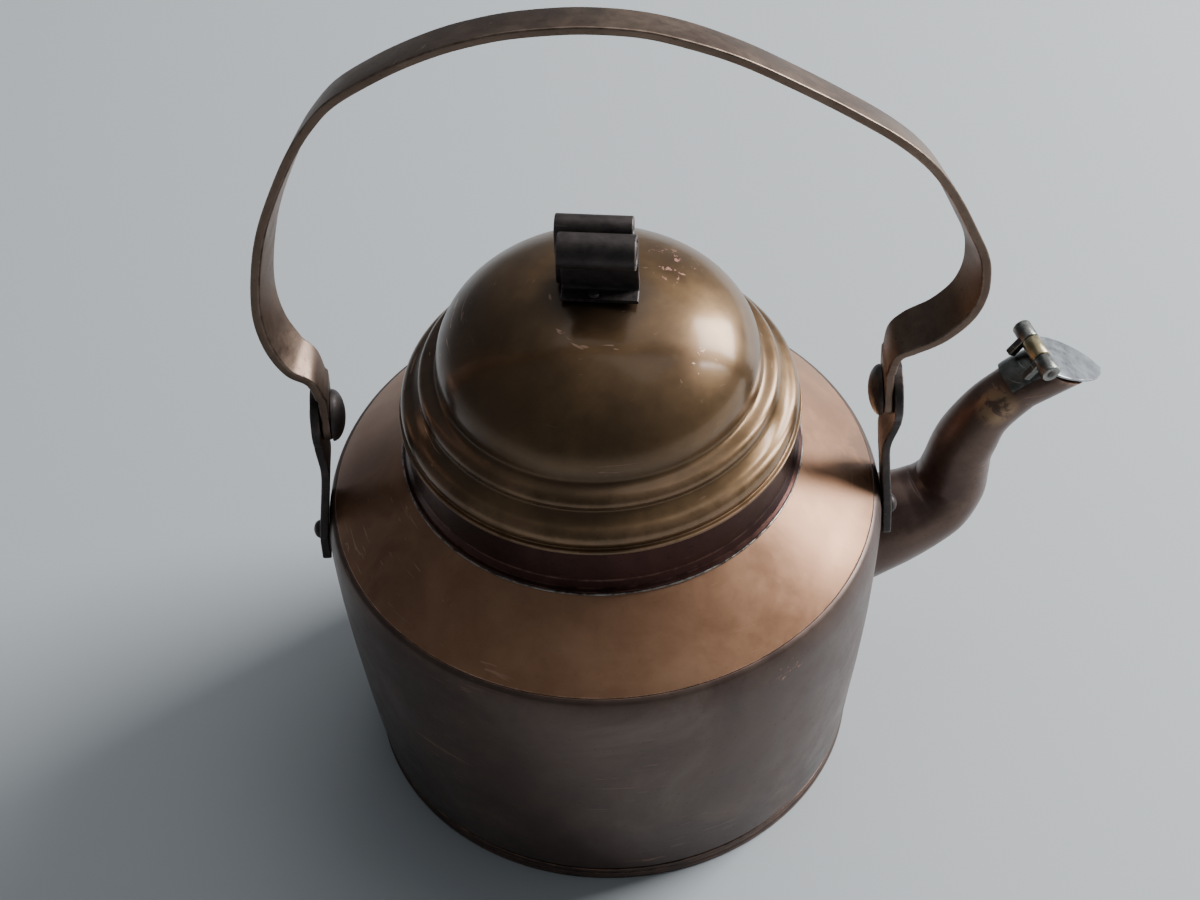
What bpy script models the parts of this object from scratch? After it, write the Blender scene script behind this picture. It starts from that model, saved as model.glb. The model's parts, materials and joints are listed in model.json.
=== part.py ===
"""A copper kettle: turned body and lid, swept spout with a hinged flap, flat-strap bail on riveted ears."""

from math import atan2, cos, pi, radians, sin, sqrt

import bmesh
import bpy
from mathutils import Matrix, Vector

# Sizes are in metres. +X points to the ear on the spout's side, and z = 0 is the resting plane.
SHEET = 0.0012
GAP = 0.0003
TURN_STEPS = 48

# Body
BELLY_RADIUS = 0.1023
FOOT_RADIUS = BELLY_RADIUS - 0.0118
WALL_BULGE = 0.0015
SHOULDER_RADIUS = BELLY_RADIUS - 0.0029
SHOULDER_HEIGHT = 0.1188
BELLY_HEIGHT = SHOULDER_HEIGHT - 0.0119
SKIRT_DEPTH = 0.006
BASE_SHEET = 0.0015
BASE_BAND = 0.006
BASE_EDGE = 0.0016
NECK_RADIUS = 0.0700
NECK_FOOT_FLARE = 0.0023
NECK_FOOT_HEIGHT = SHOULDER_HEIGHT + 0.0240
NECK_TOP = NECK_FOOT_HEIGHT + 0.0206
COLLAR_LAP = 0.007

# Lid
LID_RIM_RADIUS = NECK_RADIUS + 0.0020
LID_RIM_HEIGHT = 0.0014
LOWER_BEAD_RADIUS = 0.0046
UPPER_BEAD_RADIUS = 0.0036
LOWER_BEAD_INSET = 0.0054
UPPER_BEAD_INSET = 0.0113
LOWER_BEAD_RISE = 0.0050
UPPER_BEAD_RISE = 0.0158
DOME_RADIUS = LID_RIM_RADIUS - 0.0146
DOME_HEIGHT = 0.0324
DOME_RISE = 0.0247
DOME_SKIRT = 0.0205
BEZEL_DEPTH = 0.0090
BEZEL_CLEARANCE = 0.0005
LID_TURN = radians(-7)

# Knob: two strips that roll outwards, the front one larger
KNOB_WIDTH = 0.027
KNOB_STRIP = 0.0015
KNOB_HEIGHT = 0.0228
KNOB_SHIFT = 0.0020
FRONT_ROLL = 0.0071
BACK_ROLL = 0.0051
SCROLL_TURNS = 1.45
SCROLL_SHRINK = 0.62
KNOB_FOOT = 0.0070
KNOB_RIVET_PLACE = 0.0048
KNOB_RIVET_RADIUS = 0.0012
KNOB_RIVET_HEAD = 0.0021

# Ears and their rivets
EAR_STRAP = 0.0032
EAR_WIDTH = 0.016
EAR_BOTTOM = BELLY_HEIGHT - 0.0124
LEFT_LEAN, RIGHT_LEAN = 0.0040, 0.0020
LEFT_CHEEK_STEP, RIGHT_CHEEK_STEP = -0.0028, 0.0018
EAR_RIVET_HEIGHT = BELLY_HEIGHT - 0.0039
EAR_RIVET_RADIUS = 0.0019
EAR_RIVET_HEAD = 0.0034
EAR_RIVET_DOME = 0.0024
CHEEK_RADIUS = 0.01125
PIVOT_HEIGHT = SHOULDER_HEIGHT + 0.0452
PIVOT_RADIUS = 0.0030
PIVOT_CLEARANCE = 0.0003
PIVOT_HEAD_RADIUS = 0.0094
PIVOT_DOME = 0.0046
PEEN_HEIGHT = 0.0007
PEEN_RADIUS = 0.0046

# Bail: a flat strap whose middle line runs through these points (x, height above the pivots)
BAIL_WIDTH = 0.016
BAIL_STRAP = 0.0034
BAIL_CANT = 0.0045
BAIL_EYE_RADIUS = 0.0088
BAIL_LEG_RISE = 0.0150
LEFT_LEG, RIGHT_LEG = -0.0978, 0.1024
BAIL_LINE = (
    (-0.1008, 0.0245), (-0.1070, 0.0315), (-0.1123, 0.0450), (-0.1138, 0.0640), (-0.1095, 0.0920),
    (-0.1005, 0.1180), (-0.0890, 0.1400), (-0.0740, 0.1550), (-0.0400, 0.1710), (0.0000, 0.1750),
    (0.0360, 0.1660), (0.0740, 0.1430), (0.1095, 0.1135), (0.1280, 0.0770), (0.1316, 0.0595),
    (0.1285, 0.0450), (0.1200, 0.0345), (0.1100, 0.0285), (0.1045, 0.0235),
)

# Spout: (distance beyond the belly, height, outer radius) of its middle line
SPOUT_TURN = radians(13)
SPOUT_SHEET = 0.0012
SPOUT_LINE = (
    (-0.0123, 0.0600, 0.0195), (-0.0013, 0.0628, 0.0190), (0.0112, 0.0660, 0.0181), (0.0202, 0.0683, 0.0168),
    (0.0282, 0.0725, 0.0156), (0.0335, 0.0795, 0.0142), (0.0357, 0.0880, 0.0131), (0.0374, 0.0973, 0.0121),
    (0.0406, 0.1052, 0.0115), (0.0447, 0.1126, 0.0106), (0.0498, 0.1181, 0.0102), (0.0570, 0.1237, 0.0097),
    (0.0617, 0.1265, 0.0096), (0.0753, 0.1315, 0.0096), (0.0897, 0.1365, 0.0098),
)
MOUTH_DISTANCE = BELLY_RADIUS + 0.0646
MOUTH_HEIGHT = 0.1380
MOUTH_SLOPE = radians(35)

# Flap and its hinge, in the frame of the spout's mouth
HINGE_TURN = radians(8)
KNUCKLE_RADIUS = 0.0036
HINGE_LENGTH = 0.0252
HINGE_OFFSET = 0.0033
HINGE_LIFT = 0.0024
KNUCKLE_SHARE = 0.36
HINGE_PIN_RADIUS = 0.0013
HINGE_CLEARANCE = 0.0003
FLAP_LENGTH = 0.0380
FLAP_WIDTH = 0.0222
FLAP_SHEET = 0.0010
SADDLE_LENGTH = 0.0120
SADDLE_WIDTH = 0.0155
SADDLE_SHEET = 0.0012

COPPER_DARK = ((0.20, 0.11, 0.07), 0.42, 1.0)
COPPER = ((0.55, 0.30, 0.20), 0.32, 1.0)
OLIVE_BRASS = ((0.40, 0.28, 0.14), 0.34, 1.0)
BLACK_IRON = ((0.045, 0.035, 0.032), 0.48, 1.0)
TINNED = ((0.55, 0.57, 0.60), 0.30, 1.0)


def clear_scene():
    for old in list(bpy.data.objects):
        bpy.data.objects.remove(old, do_unlink=True)


def new_collection(name):
    collection = bpy.data.collections.new(name)
    bpy.context.scene.collection.children.link(collection)
    return collection


def make_material(name, look):
    color, roughness, metallic = look
    material = bpy.data.materials.new(name)
    material.use_nodes = True
    shader = material.node_tree.nodes["Principled BSDF"]
    shader.inputs["Base Color"].default_value = (*color, 1)
    shader.inputs["Roughness"].default_value = roughness
    shader.inputs["Metallic"].default_value = metallic
    return material


def place(obj, look):
    """Puts a finished piece in the kettle's collection with its own material, its round faces shaded smooth."""
    kettle.objects.link(obj)
    obj.data.materials.append(make_material(obj.name, look))
    obj.data.shade_smooth()
    obj.data.set_sharp_from_angle(angle=radians(35))
    return obj


def hide_cutter(obj):
    cutters.objects.link(obj)
    obj.hide_render = True
    obj.display_type = "WIRE"
    return obj


def mesh_object(name, build):
    """An object whose mesh is what build(bm) leaves in a bmesh."""
    bm = bmesh.new()
    build(bm)
    mesh = bpy.data.meshes.new(name)
    bm.to_mesh(mesh)
    bm.free()
    return bpy.data.objects.new(name, mesh)


def turned(name, profile, closed=False, steps=TURN_STEPS):
    """A profile of (radius, height) points turned round Z. It runs down the outer side, top to bottom."""
    def build(bm):
        points = [bm.verts.new((radius, 0, height)) for radius, height in profile]
        for a, b in zip(points, points[1:]):
            bm.edges.new((a, b))
        if closed:
            bm.edges.new((points[-1], points[0]))

    obj = mesh_object(name, build)
    screw = obj.modifiers.new("Turn", "SCREW")
    screw.steps = steps
    screw.render_steps = steps
    screw.use_merge_vertices = True
    screw.merge_threshold = 0.00001
    screw.use_smooth_shade = True
    return obj


def cylinder(name, radius, start, end, sides=28):
    """A cylinder from one point to another."""
    start, end = Vector(start), Vector(end)
    along = end - start
    turn = along.to_track_quat("Z", "Y").to_matrix().to_4x4()

    def build(bm):
        middle = Matrix.Translation((start + end) / 2) @ turn
        bmesh.ops.create_cone(bm, cap_ends=True, segments=sides, radius1=radius, radius2=radius,
                              depth=along.length, matrix=middle)

    return mesh_object(name, build)


def block(name, low, high, matrix=Matrix.Identity(4)):
    low, high = Vector(low), Vector(high)
    size = Matrix.Diagonal((*(high - low), 1))

    def build(bm):
        bmesh.ops.create_cube(bm, size=1, matrix=matrix @ Matrix.Translation((low + high) / 2) @ size)

    return mesh_object(name, build)


def extruded(name, outline, start, end, matrix=Matrix.Identity(4)):
    """A flat outline of (u, v) points extruded along its normal from start to end."""
    def build(bm):
        face = bm.faces.new([bm.verts.new(matrix @ Vector((u, v, start))) for u, v in outline])
        moved = bmesh.ops.extrude_face_region(bm, geom=[face])["geom"]
        shift = matrix.to_3x3() @ Vector((0, 0, end - start))
        bmesh.ops.translate(bm, vec=shift, verts=[v for v in moved if isinstance(v, bmesh.types.BMVert)])
        bmesh.ops.recalc_face_normals(bm, faces=bm.faces)

    return mesh_object(name, build)


def boolean(obj, operation, *others):
    for other in others:
        modifier = obj.modifiers.new(other.name, "BOOLEAN")
        modifier.operation = operation
        modifier.object = other
        hide_cutter(other)
    return obj


def cut(obj, *others):
    return boolean(obj, "DIFFERENCE", *others)


def join(obj, *others):
    return boolean(obj, "UNION", *others)


def arc(middle, radius, first, last, count):
    """Points of an arc in a profile, its angles measured from the outward direction."""
    angles = [first + (last - first) * i / (count - 1) for i in range(count)]
    return [(middle[0] + radius * cos(a), middle[1] + radius * sin(a)) for a in angles]


def smooth_line(points, per_span):
    """A smooth line through the points, per_span steps between each two."""
    points = [Vector(p) for p in points]
    ends = [2 * points[0] - points[1], *points, 2 * points[-1] - points[-2]]
    line = []
    for i in range(len(points) - 1):
        a, b, c, d = ends[i:i + 4]
        for step in range(per_span):
            t = step / per_span
            line.append(0.5 * (2 * b + (c - a) * t + (2 * a - 5 * b + 4 * c - d) * t ** 2
                               + (3 * b - a - 3 * c + d) * t ** 3))
    return line + [points[-1]]


# Body

def wall_radius(height):
    """The wall's outer radius."""
    if height <= BELLY_HEIGHT:
        part = height / BELLY_HEIGHT
        return FOOT_RADIUS + (BELLY_RADIUS - FOOT_RADIUS) * part + 4 * WALL_BULGE * part * (1 - part)
    part = (height - BELLY_HEIGHT) / (SHOULDER_HEIGHT - BELLY_HEIGHT)
    return SHOULDER_RADIUS + (BELLY_RADIUS - SHOULDER_RADIUS) * sqrt(max(0, 1 - part * part))


def wall_heights():
    straight = [BELLY_HEIGHT + (BASE_BAND + GAP - BELLY_HEIGHT) * i / 5 for i in range(6)]
    rounded = [SHOULDER_HEIGHT + (BELLY_HEIGHT - SHOULDER_HEIGHT) * part for part in (0, 0.12, 0.35, 0.65)]
    return rounded + straight


CRIMP_RADIUS = wall_radius(BASE_BAND) - SHEET
WALL_BOTTOM = BASE_SHEET + GAP


def wall_profile(grow=0.0):
    """The wall's outer line down to its crimped foot, moved outwards by grow."""
    line = [(wall_radius(z) + grow, z) for z in wall_heights()]
    return line + [(CRIMP_RADIUS - GAP + grow, BASE_BAND + GAP), (CRIMP_RADIUS - GAP + grow, WALL_BOTTOM)]


def make_wall():
    outer = wall_profile()
    inner = [(radius - SHEET, height) for radius, height in reversed(outer)]
    inner[1] = (inner[1][0], inner[1][1] + SHEET)
    inner[2] = (inner[2][0], inner[2][1] + SHEET)
    wall = turned("body_wall", outer + inner, closed=True)
    return cut(place(wall, COPPER_DARK), spout_bore("spout_hole"), *ear_rivet_holes("wall"))


def make_base():
    outer = CRIMP_RADIUS + SHEET
    edge = arc((outer - BASE_EDGE, BASE_EDGE), BASE_EDGE, 0, -pi / 2, 4)
    profile = [(0, BASE_SHEET), (CRIMP_RADIUS, BASE_SHEET), (CRIMP_RADIUS, BASE_BAND), (outer, BASE_BAND)]
    return place(turned("base_plate", profile + edge + [(0, 0)]), COPPER_DARK)


SHOULDER_SLOPE = atan2(NECK_FOOT_HEIGHT - SHOULDER_HEIGHT, SHOULDER_RADIUS - NECK_RADIUS - NECK_FOOT_FLARE)
SKIRT_RADIUS = SHOULDER_RADIUS - SHEET - GAP
COLLAR_RADIUS = NECK_RADIUS - SHEET - GAP


def cone_height(radius):
    """The height of the shoulder's outer face."""
    return SHOULDER_HEIGHT + (SHOULDER_RADIUS - radius) * sin(SHOULDER_SLOPE) / cos(SHOULDER_SLOPE)


def make_shoulder():
    drop = SHEET / cos(SHOULDER_SLOPE)
    low = SHOULDER_HEIGHT - SKIRT_DEPTH
    collar_top = cone_height(COLLAR_RADIUS) + COLLAR_LAP
    outer = [(COLLAR_RADIUS, collar_top), (COLLAR_RADIUS, cone_height(COLLAR_RADIUS)),
             (SKIRT_RADIUS, cone_height(SKIRT_RADIUS)), (SKIRT_RADIUS, low)]
    inner = [(SKIRT_RADIUS - SHEET, low), (SKIRT_RADIUS - SHEET, cone_height(SKIRT_RADIUS - SHEET) - drop),
             (COLLAR_RADIUS - SHEET, cone_height(COLLAR_RADIUS - SHEET) - drop),
             (COLLAR_RADIUS - SHEET, collar_top)]
    return place(turned("shoulder", outer + inner, closed=True), COPPER)


def make_neck():
    foot_radius = NECK_RADIUS + NECK_FOOT_FLARE
    inside = NECK_RADIUS - SHEET
    lift = GAP / cos(SHOULDER_SLOPE)
    foot = cone_height(foot_radius) + lift
    outer = [(NECK_RADIUS, NECK_TOP), (NECK_RADIUS, foot + 2 * NECK_FOOT_FLARE),
             (foot_radius - NECK_FOOT_FLARE / 2, foot + 1.2 * NECK_FOOT_FLARE), (foot_radius, foot + SHEET / 2),
             (foot_radius, foot)]
    inner = [(inside, cone_height(inside) + lift), (inside, NECK_TOP)]
    return place(turned("neck_collar", outer + inner, closed=True), COPPER_DARK)


# Lid

LID_SEAT = NECK_TOP + GAP


def lid_line():
    """The lid's outer line from the dome's top down to the rim."""
    dome_foot = LID_SEAT + DOME_RISE
    upper = (LID_RIM_RADIUS - UPPER_BEAD_INSET, LID_SEAT + UPPER_BEAD_RISE)
    lower = (LID_RIM_RADIUS - LOWER_BEAD_INSET, LID_SEAT + LOWER_BEAD_RISE)
    turns = [pi / 2 * i / 9 for i in range(10)]
    dome = [(DOME_RADIUS * sin(a), dome_foot + DOME_HEIGHT * cos(a)) for a in turns]
    return (dome + [(DOME_RADIUS + GAP, LID_SEAT + DOME_SKIRT)]
            + arc(upper, UPPER_BEAD_RADIUS, radians(78), radians(-48), 5)
            + arc(lower, LOWER_BEAD_RADIUS, radians(84), radians(-36), 6)
            + [(LID_RIM_RADIUS, LID_SEAT + LID_RIM_HEIGHT)])


def offset_line(line, distance):
    """The line moved to its inner side by distance, measured square to the line."""
    moved = []
    for i, point in enumerate(line):
        before = Vector(line[max(i - 1, 0)])
        after = Vector(line[min(i + 1, len(line) - 1)])
        along = (after - before).normalized()
        moved.append((point[0] + along.y * distance, point[1] - along.x * distance))
    return moved


def make_lid():
    outer = lid_line()
    inner = offset_line(outer, SHEET)
    inner[0] = (0, outer[0][1] - SHEET)
    inner = [point for point in inner[:-1] if point[1] > LID_SEAT + SHEET]
    seat = [(LID_RIM_RADIUS, LID_SEAT), (inner[-1][0], LID_SEAT)]
    lid = turned("lid_cover", outer + seat + inner[::-1])
    return cut(place(lid, OLIVE_BRASS), *knob_rivet_holes())


def make_bezel():
    """The sleeve that hangs in the neck under the lid."""
    outer = NECK_RADIUS - SHEET - BEZEL_CLEARANCE
    inside = outer - SHEET
    top = LID_SEAT - GAP
    profile = [(outer, top), (outer, top - BEZEL_DEPTH), (inside, top - BEZEL_DEPTH), (inside, top)]
    return place(turned("lid_bezel", profile, closed=True), OLIVE_BRASS)


# Knob

KNOB_SEAT = LID_SEAT + DOME_RISE + DOME_HEIGHT + GAP
KNOB_FRAME = Matrix.Rotation(LID_TURN, 4, "Z") @ Matrix.Translation((0, 0, KNOB_SEAT))


def make_scroll(name, side, roll, shift):
    """A strip with a flat foot and a stem that rolls outwards, to the front (side -1) or the back (side 1)."""
    stem = GAP / 2 + KNOB_STRIP / 2
    line = [Vector((KNOB_FOOT, 0)), Vector((stem + 0.0016, 0)), Vector((stem + 0.0004, 0.0005)),
            Vector((stem, 0.0018)), Vector((stem, KNOB_HEIGHT - roll * 0.6))]
    middle = Vector((stem + roll - KNOB_STRIP / 2, KNOB_HEIGHT))
    steps = 20
    for i in range(steps + 1):
        part = i / steps
        angle = pi - SCROLL_TURNS * 2 * pi * part
        radius = (roll - KNOB_STRIP / 2) * (1 - SCROLL_SHRINK * part ** 1.1)
        line.append(middle + radius * Vector((cos(angle), sin(angle))))

    def build(bm):
        ends = []
        for x in (shift - KNOB_WIDTH / 2, shift + KNOB_WIDTH / 2):
            ends.append([bm.verts.new((x, side * p.x, p.y + KNOB_STRIP / 2)) for p in line])
        for i in range(len(line) - 1):
            bm.faces.new((ends[0][i], ends[1][i], ends[1][i + 1], ends[0][i + 1]))
        bm.transform(KNOB_FRAME)

    scroll = mesh_object(name, build)
    thicken(scroll, KNOB_STRIP)
    rivet_hole = cylinder(name + "_hole", KNOB_RIVET_RADIUS + GAP,
                          KNOB_FRAME @ Vector((0, side * KNOB_RIVET_PLACE, -0.002)),
                          KNOB_FRAME @ Vector((0, side * KNOB_RIVET_PLACE, KNOB_STRIP + 0.001)), 20)
    return cut(place(scroll, BLACK_IRON), rivet_hole)


def thicken(obj, thickness):
    solid = obj.modifiers.new("Thickness", "SOLIDIFY")
    solid.thickness = thickness
    solid.offset = 0
    solid.use_even_offset = True
    return obj


def rivet_between(name, radius, low, high, low_head, high_head):
    """A turned rivet along Z from low to high, with a flat-based head (radius, height) outside each end."""
    low_radius, low_height = low_head
    high_radius, high_height = high_head
    turns = [pi / 2 * i / 5 for i in range(6)]
    top = [(high_radius * sin(a), high + high_height * cos(a)) for a in turns]
    bottom = [(low_radius * sin(a), low - low_height * cos(a)) for a in reversed(turns)]
    return turned(name, top + [(radius, high), (radius, low)] + bottom, steps=20)


def knob_rivet_holes():
    holes = []
    for name, side in (("front", -1), ("back", 1)):
        low = KNOB_FRAME @ Vector((0, side * KNOB_RIVET_PLACE, -0.006))
        high = KNOB_FRAME @ Vector((0, side * KNOB_RIVET_PLACE, 0.003))
        holes.append(cylinder("dome_hole_" + name, KNOB_RIVET_RADIUS + GAP, low, high, 20))
    return holes


def dome_drop(radius):
    """How far the dome's top falls at a radius."""
    return DOME_HEIGHT * (1 - sqrt(1 - (radius / DOME_RADIUS) ** 2))


def make_knob_rivet(name, side):
    low = -SHEET - 2 * GAP - dome_drop(KNOB_RIVET_PLACE + KNOB_RIVET_HEAD)
    rivet = rivet_between(name, KNOB_RIVET_RADIUS, low, KNOB_STRIP + GAP, (KNOB_RIVET_HEAD, 0.0012),
                          (KNOB_RIVET_HEAD, 0.0012))
    rivet.matrix_world = KNOB_FRAME @ Matrix.Translation((0, side * KNOB_RIVET_PLACE, 0))
    return place(rivet, BLACK_IRON)


# Ears

EAR_FACE = BELLY_RADIUS + GAP
EAR_SIDES = (("left", -1), ("right", 1))


def cheek_face(side):
    """How far from the middle the cheek's inner face is."""
    return EAR_FACE + (LEFT_CHEEK_STEP if side < 0 else RIGHT_CHEEK_STEP)


def bail_face(side):
    return cheek_face(side) - GAP


def ear_line(side):
    """(distance from the middle, height) of the strap's inner face."""
    cheek_foot = PIVOT_HEIGHT - CHEEK_RADIUS
    lean = EAR_FACE - (LEFT_LEAN if side < 0 else RIGHT_LEAN)
    step = cheek_face(side) - lean
    return [(EAR_FACE, EAR_BOTTOM), (EAR_FACE, BELLY_HEIGHT), (lean, cheek_foot - CHEEK_RADIUS),
            (lean + step * 0.2, cheek_foot - CHEEK_RADIUS * 0.7), (cheek_face(side), cheek_foot),
            (cheek_face(side), PIVOT_HEIGHT)]


def make_strap(side_name, side):
    inner = ear_line(side)
    face = cheek_face(side)
    outline = inner + [(x + EAR_STRAP, z) for x, z in reversed(inner)]
    upright = Matrix(((side, 0, 0, 0), (0, 0, 1, 0), (0, 1, 0, 0), (0, 0, 0, 1)))
    strap = extruded("ear_strap_" + side_name, outline, -EAR_WIDTH / 2, EAR_WIDTH / 2, upright)
    cheek = cylinder("cheek_" + side_name, CHEEK_RADIUS, (side * face, 0, PIVOT_HEIGHT),
                     (side * (face + EAR_STRAP), 0, PIVOT_HEIGHT))
    hole = pivot_hole("cheek_hole_" + side_name, side)
    rivet_hole = ear_rivet_hole("strap_hole_" + side_name, side)
    return cut(join(place(strap, BLACK_IRON), cheek), hole, rivet_hole)


def ear_rivet_hole(name, side):
    inner = side * (wall_radius(EAR_RIVET_HEIGHT) - 0.005)
    outer = side * (EAR_FACE + EAR_STRAP + 0.005)
    return cylinder(name, EAR_RIVET_RADIUS + GAP, (inner, 0, EAR_RIVET_HEIGHT), (outer, 0, EAR_RIVET_HEIGHT), 20)


def ear_rivet_holes(name):
    return [ear_rivet_hole(name + "_hole_" + side_name, side) for side_name, side in EAR_SIDES]


def pivot_hole(name, side):
    inner, outer = bail_face(side) - 2 * BAIL_STRAP, cheek_face(side) + 2 * EAR_STRAP
    return cylinder(name, PIVOT_RADIUS + PIVOT_CLEARANCE, (side * inner, 0, PIVOT_HEIGHT),
                    (side * outer, 0, PIVOT_HEIGHT), 32)


def along_x(side, height):
    """Turns Z to point away from the middle on one side, at a height."""
    return Matrix.Translation((0, 0, height)) @ Matrix.Rotation(side * pi / 2, 4, "Y")


BURR_FACE = wall_radius(EAR_RIVET_HEIGHT) - SHEET - 3 * GAP


def make_ear_rivet(side_name, side):
    rivet = rivet_between("ear_rivet_" + side_name, EAR_RIVET_RADIUS, BURR_FACE - SHEET - 2 * GAP,
                          EAR_FACE + EAR_STRAP + GAP, (EAR_RIVET_HEAD * 0.8, 0.0011),
                          (EAR_RIVET_HEAD, EAR_RIVET_DOME))
    rivet.matrix_world = along_x(side, EAR_RIVET_HEIGHT)
    return place(rivet, BLACK_IRON)


def make_ear_burr(side_name, side):
    hole, outer = EAR_RIVET_RADIUS + GAP, EAR_RIVET_HEAD
    low, high = BURR_FACE - SHEET, BURR_FACE - GAP
    burr = turned("ear_burr_" + side_name, [(outer, high), (outer, low), (hole, low), (hole, high)], closed=True,
                  steps=24)
    burr.matrix_world = along_x(side, EAR_RIVET_HEIGHT)
    return place(burr, COPPER_DARK)


def make_pivot_rivet(side_name, side):
    rivet = rivet_between("pivot_rivet_" + side_name, PIVOT_RADIUS, bail_face(side) - BAIL_STRAP - GAP,
                          cheek_face(side) + EAR_STRAP + GAP, (PIVOT_HEAD_RADIUS, PIVOT_DOME),
                          (PEEN_RADIUS, PEEN_HEIGHT))
    rivet.matrix_world = along_x(side, PIVOT_HEIGHT)
    return place(rivet, BLACK_IRON)


# Bail

def bail_points():
    """(x, z, how much of the cant applies) along the strap's middle line, from the left eye to the right one."""
    left_leg, right_leg = [side * (bail_face(side) - BAIL_STRAP / 2) for side in (-1, 1)]
    rises = [0, BAIL_LEG_RISE / 2, BAIL_LEG_RISE]
    line = smooth_line(BAIL_LINE, 3)
    reach = left_leg / LEFT_LEG, right_leg / RIGHT_LEG
    middle = [(p.x * reach[p.x > 0], PIVOT_HEIGHT + p.y, min(1, (i + 1) / 5, (len(line) - i) / 5))
              for i, p in enumerate(line)]
    return ([(left_leg, PIVOT_HEIGHT + rise, 0) for rise in rises] + middle
            + [(right_leg, PIVOT_HEIGHT + rise, 0) for rise in reversed(rises)])


def make_bail():
    points = bail_points()

    def build(bm):
        edges = []
        for side in (-1, 1):
            row = []
            for i, (x, z, share) in enumerate(points):
                before, after = points[max(i - 1, 0)], points[min(i + 1, len(points) - 1)]
                along = Vector((after[0] - before[0], after[1] - before[1])).normalized()
                inwards = Vector((along.y, -along.x)) * side * share * BAIL_CANT / 2
                row.append(bm.verts.new((x + inwards.x, side * BAIL_WIDTH / 2, z + inwards.y)))
            edges.append(row)
        for i in range(len(points) - 1):
            bm.faces.new((edges[0][i], edges[1][i], edges[1][i + 1], edges[0][i + 1]))

    bail = thicken(mesh_object("bail", build), BAIL_STRAP)
    eyes = [cylinder("bail_eye_" + name, BAIL_EYE_RADIUS, (side * (bail_face(side) - BAIL_STRAP), 0, PIVOT_HEIGHT),
                     (side * bail_face(side), 0, PIVOT_HEIGHT)) for name, side in EAR_SIDES]
    holes = [pivot_hole("bail_hole_" + name, side) for name, side in EAR_SIDES]
    return cut(join(place(bail, BLACK_IRON), *eyes), *holes)


# Spout

SPOUT_FRAME = Matrix.Rotation(SPOUT_TURN, 4, "Z") @ Matrix.Rotation(pi / 2, 4, "X")


def spout_tube(name, grow):
    """A closed tube along the spout's middle line, its radius changed by grow."""
    line = smooth_line(SPOUT_LINE, 2)
    curve = bpy.data.curves.new(name, "CURVE")
    curve.dimensions = "3D"
    curve.bevel_depth = 1
    curve.bevel_resolution = 4
    curve.use_fill_caps = True
    spline = curve.splines.new("POLY")
    spline.points.add(len(line) - 1)
    for point, (distance, height, radius) in zip(spline.points, line):
        point.co = (BELLY_RADIUS + distance, height, 0, 1)
        point.radius = radius + grow
    obj = bpy.data.objects.new(name, curve)
    obj.matrix_world = SPOUT_FRAME
    return curve_to_mesh(obj)


def curve_to_mesh(curve):
    """The curve's tube as a mesh object with welded caps. The curve is removed."""
    bpy.context.scene.collection.objects.link(curve)
    bpy.context.view_layer.update()
    mesh = bpy.data.meshes.new_from_object(curve.evaluated_get(bpy.context.evaluated_depsgraph_get()))
    bm = bmesh.new()
    bm.from_mesh(mesh)
    bmesh.ops.remove_doubles(bm, verts=bm.verts, dist=0.00001)
    bmesh.ops.recalc_face_normals(bm, faces=bm.faces)
    bm.to_mesh(mesh)
    bm.free()
    name = curve.name
    curve.name = name + "_line"
    obj = bpy.data.objects.new(name, mesh)
    obj.matrix_world = curve.matrix_world
    bpy.data.objects.remove(curve, do_unlink=True)
    return obj


def spout_bore(name):
    """What the spout's root leaves open in the wall."""
    first, last = SPOUT_LINE[0], SPOUT_LINE[2]
    start = SPOUT_FRAME @ Vector((BELLY_RADIUS + first[0] - 0.010, first[1] - 0.002, 0))
    end = SPOUT_FRAME @ Vector((BELLY_RADIUS + last[0], last[1], 0))
    return cylinder(name, last[2] - SPOUT_SHEET - GAP, start, end, 28)


def mouth_frame():
    """X down the mouth's slope, Y across it and Z out of it, at the middle of the mouth's upper lip."""
    along = Vector((cos(MOUTH_SLOPE), -sin(MOUTH_SLOPE), 0))
    out = Vector((sin(MOUTH_SLOPE), cos(MOUTH_SLOPE), 0))
    across = out.cross(along)
    turn = Matrix((along, across, out)).transposed().to_4x4()
    return SPOUT_FRAME @ Matrix.Translation((MOUTH_DISTANCE, MOUTH_HEIGHT, 0)) @ turn


MOUTH_FRAME = mouth_frame()


def make_spout():
    spout = place(spout_tube("spout", 0), COPPER_DARK)
    solid_wall = [(0, SHOULDER_HEIGHT), *wall_profile(GAP), (0, WALL_BOTTOM)]
    return cut(spout, spout_tube("spout_inside", -SPOUT_SHEET), turned("body_space", solid_wall),
               block("mouth_cut", (-0.06, -0.03, 0), (0.06, 0.03, 0.04), MOUTH_FRAME))


# Flap hinge

HINGE_FRAME = (MOUTH_FRAME @ Matrix.Translation((-HINGE_LIFT, 0, HINGE_OFFSET))
               @ Matrix.Rotation(HINGE_TURN, 4, "Z"))


def knuckle(name, start, end):
    return cylinder(name, KNUCKLE_RADIUS, HINGE_FRAME @ Vector((0, start, 0)), HINGE_FRAME @ Vector((0, end, 0)), 28)


def hinge_bore(name):
    reach = HINGE_LENGTH
    return cylinder(name, HINGE_PIN_RADIUS + HINGE_CLEARANCE, HINGE_FRAME @ Vector((0, -reach, 0)),
                    HINGE_FRAME @ Vector((0, reach, 0)), 20)


def knuckle_ends():
    """The ends of the middle knuckle along the hinge."""
    half = HINGE_LENGTH * KNUCKLE_SHARE / 2
    return -half, half


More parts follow.
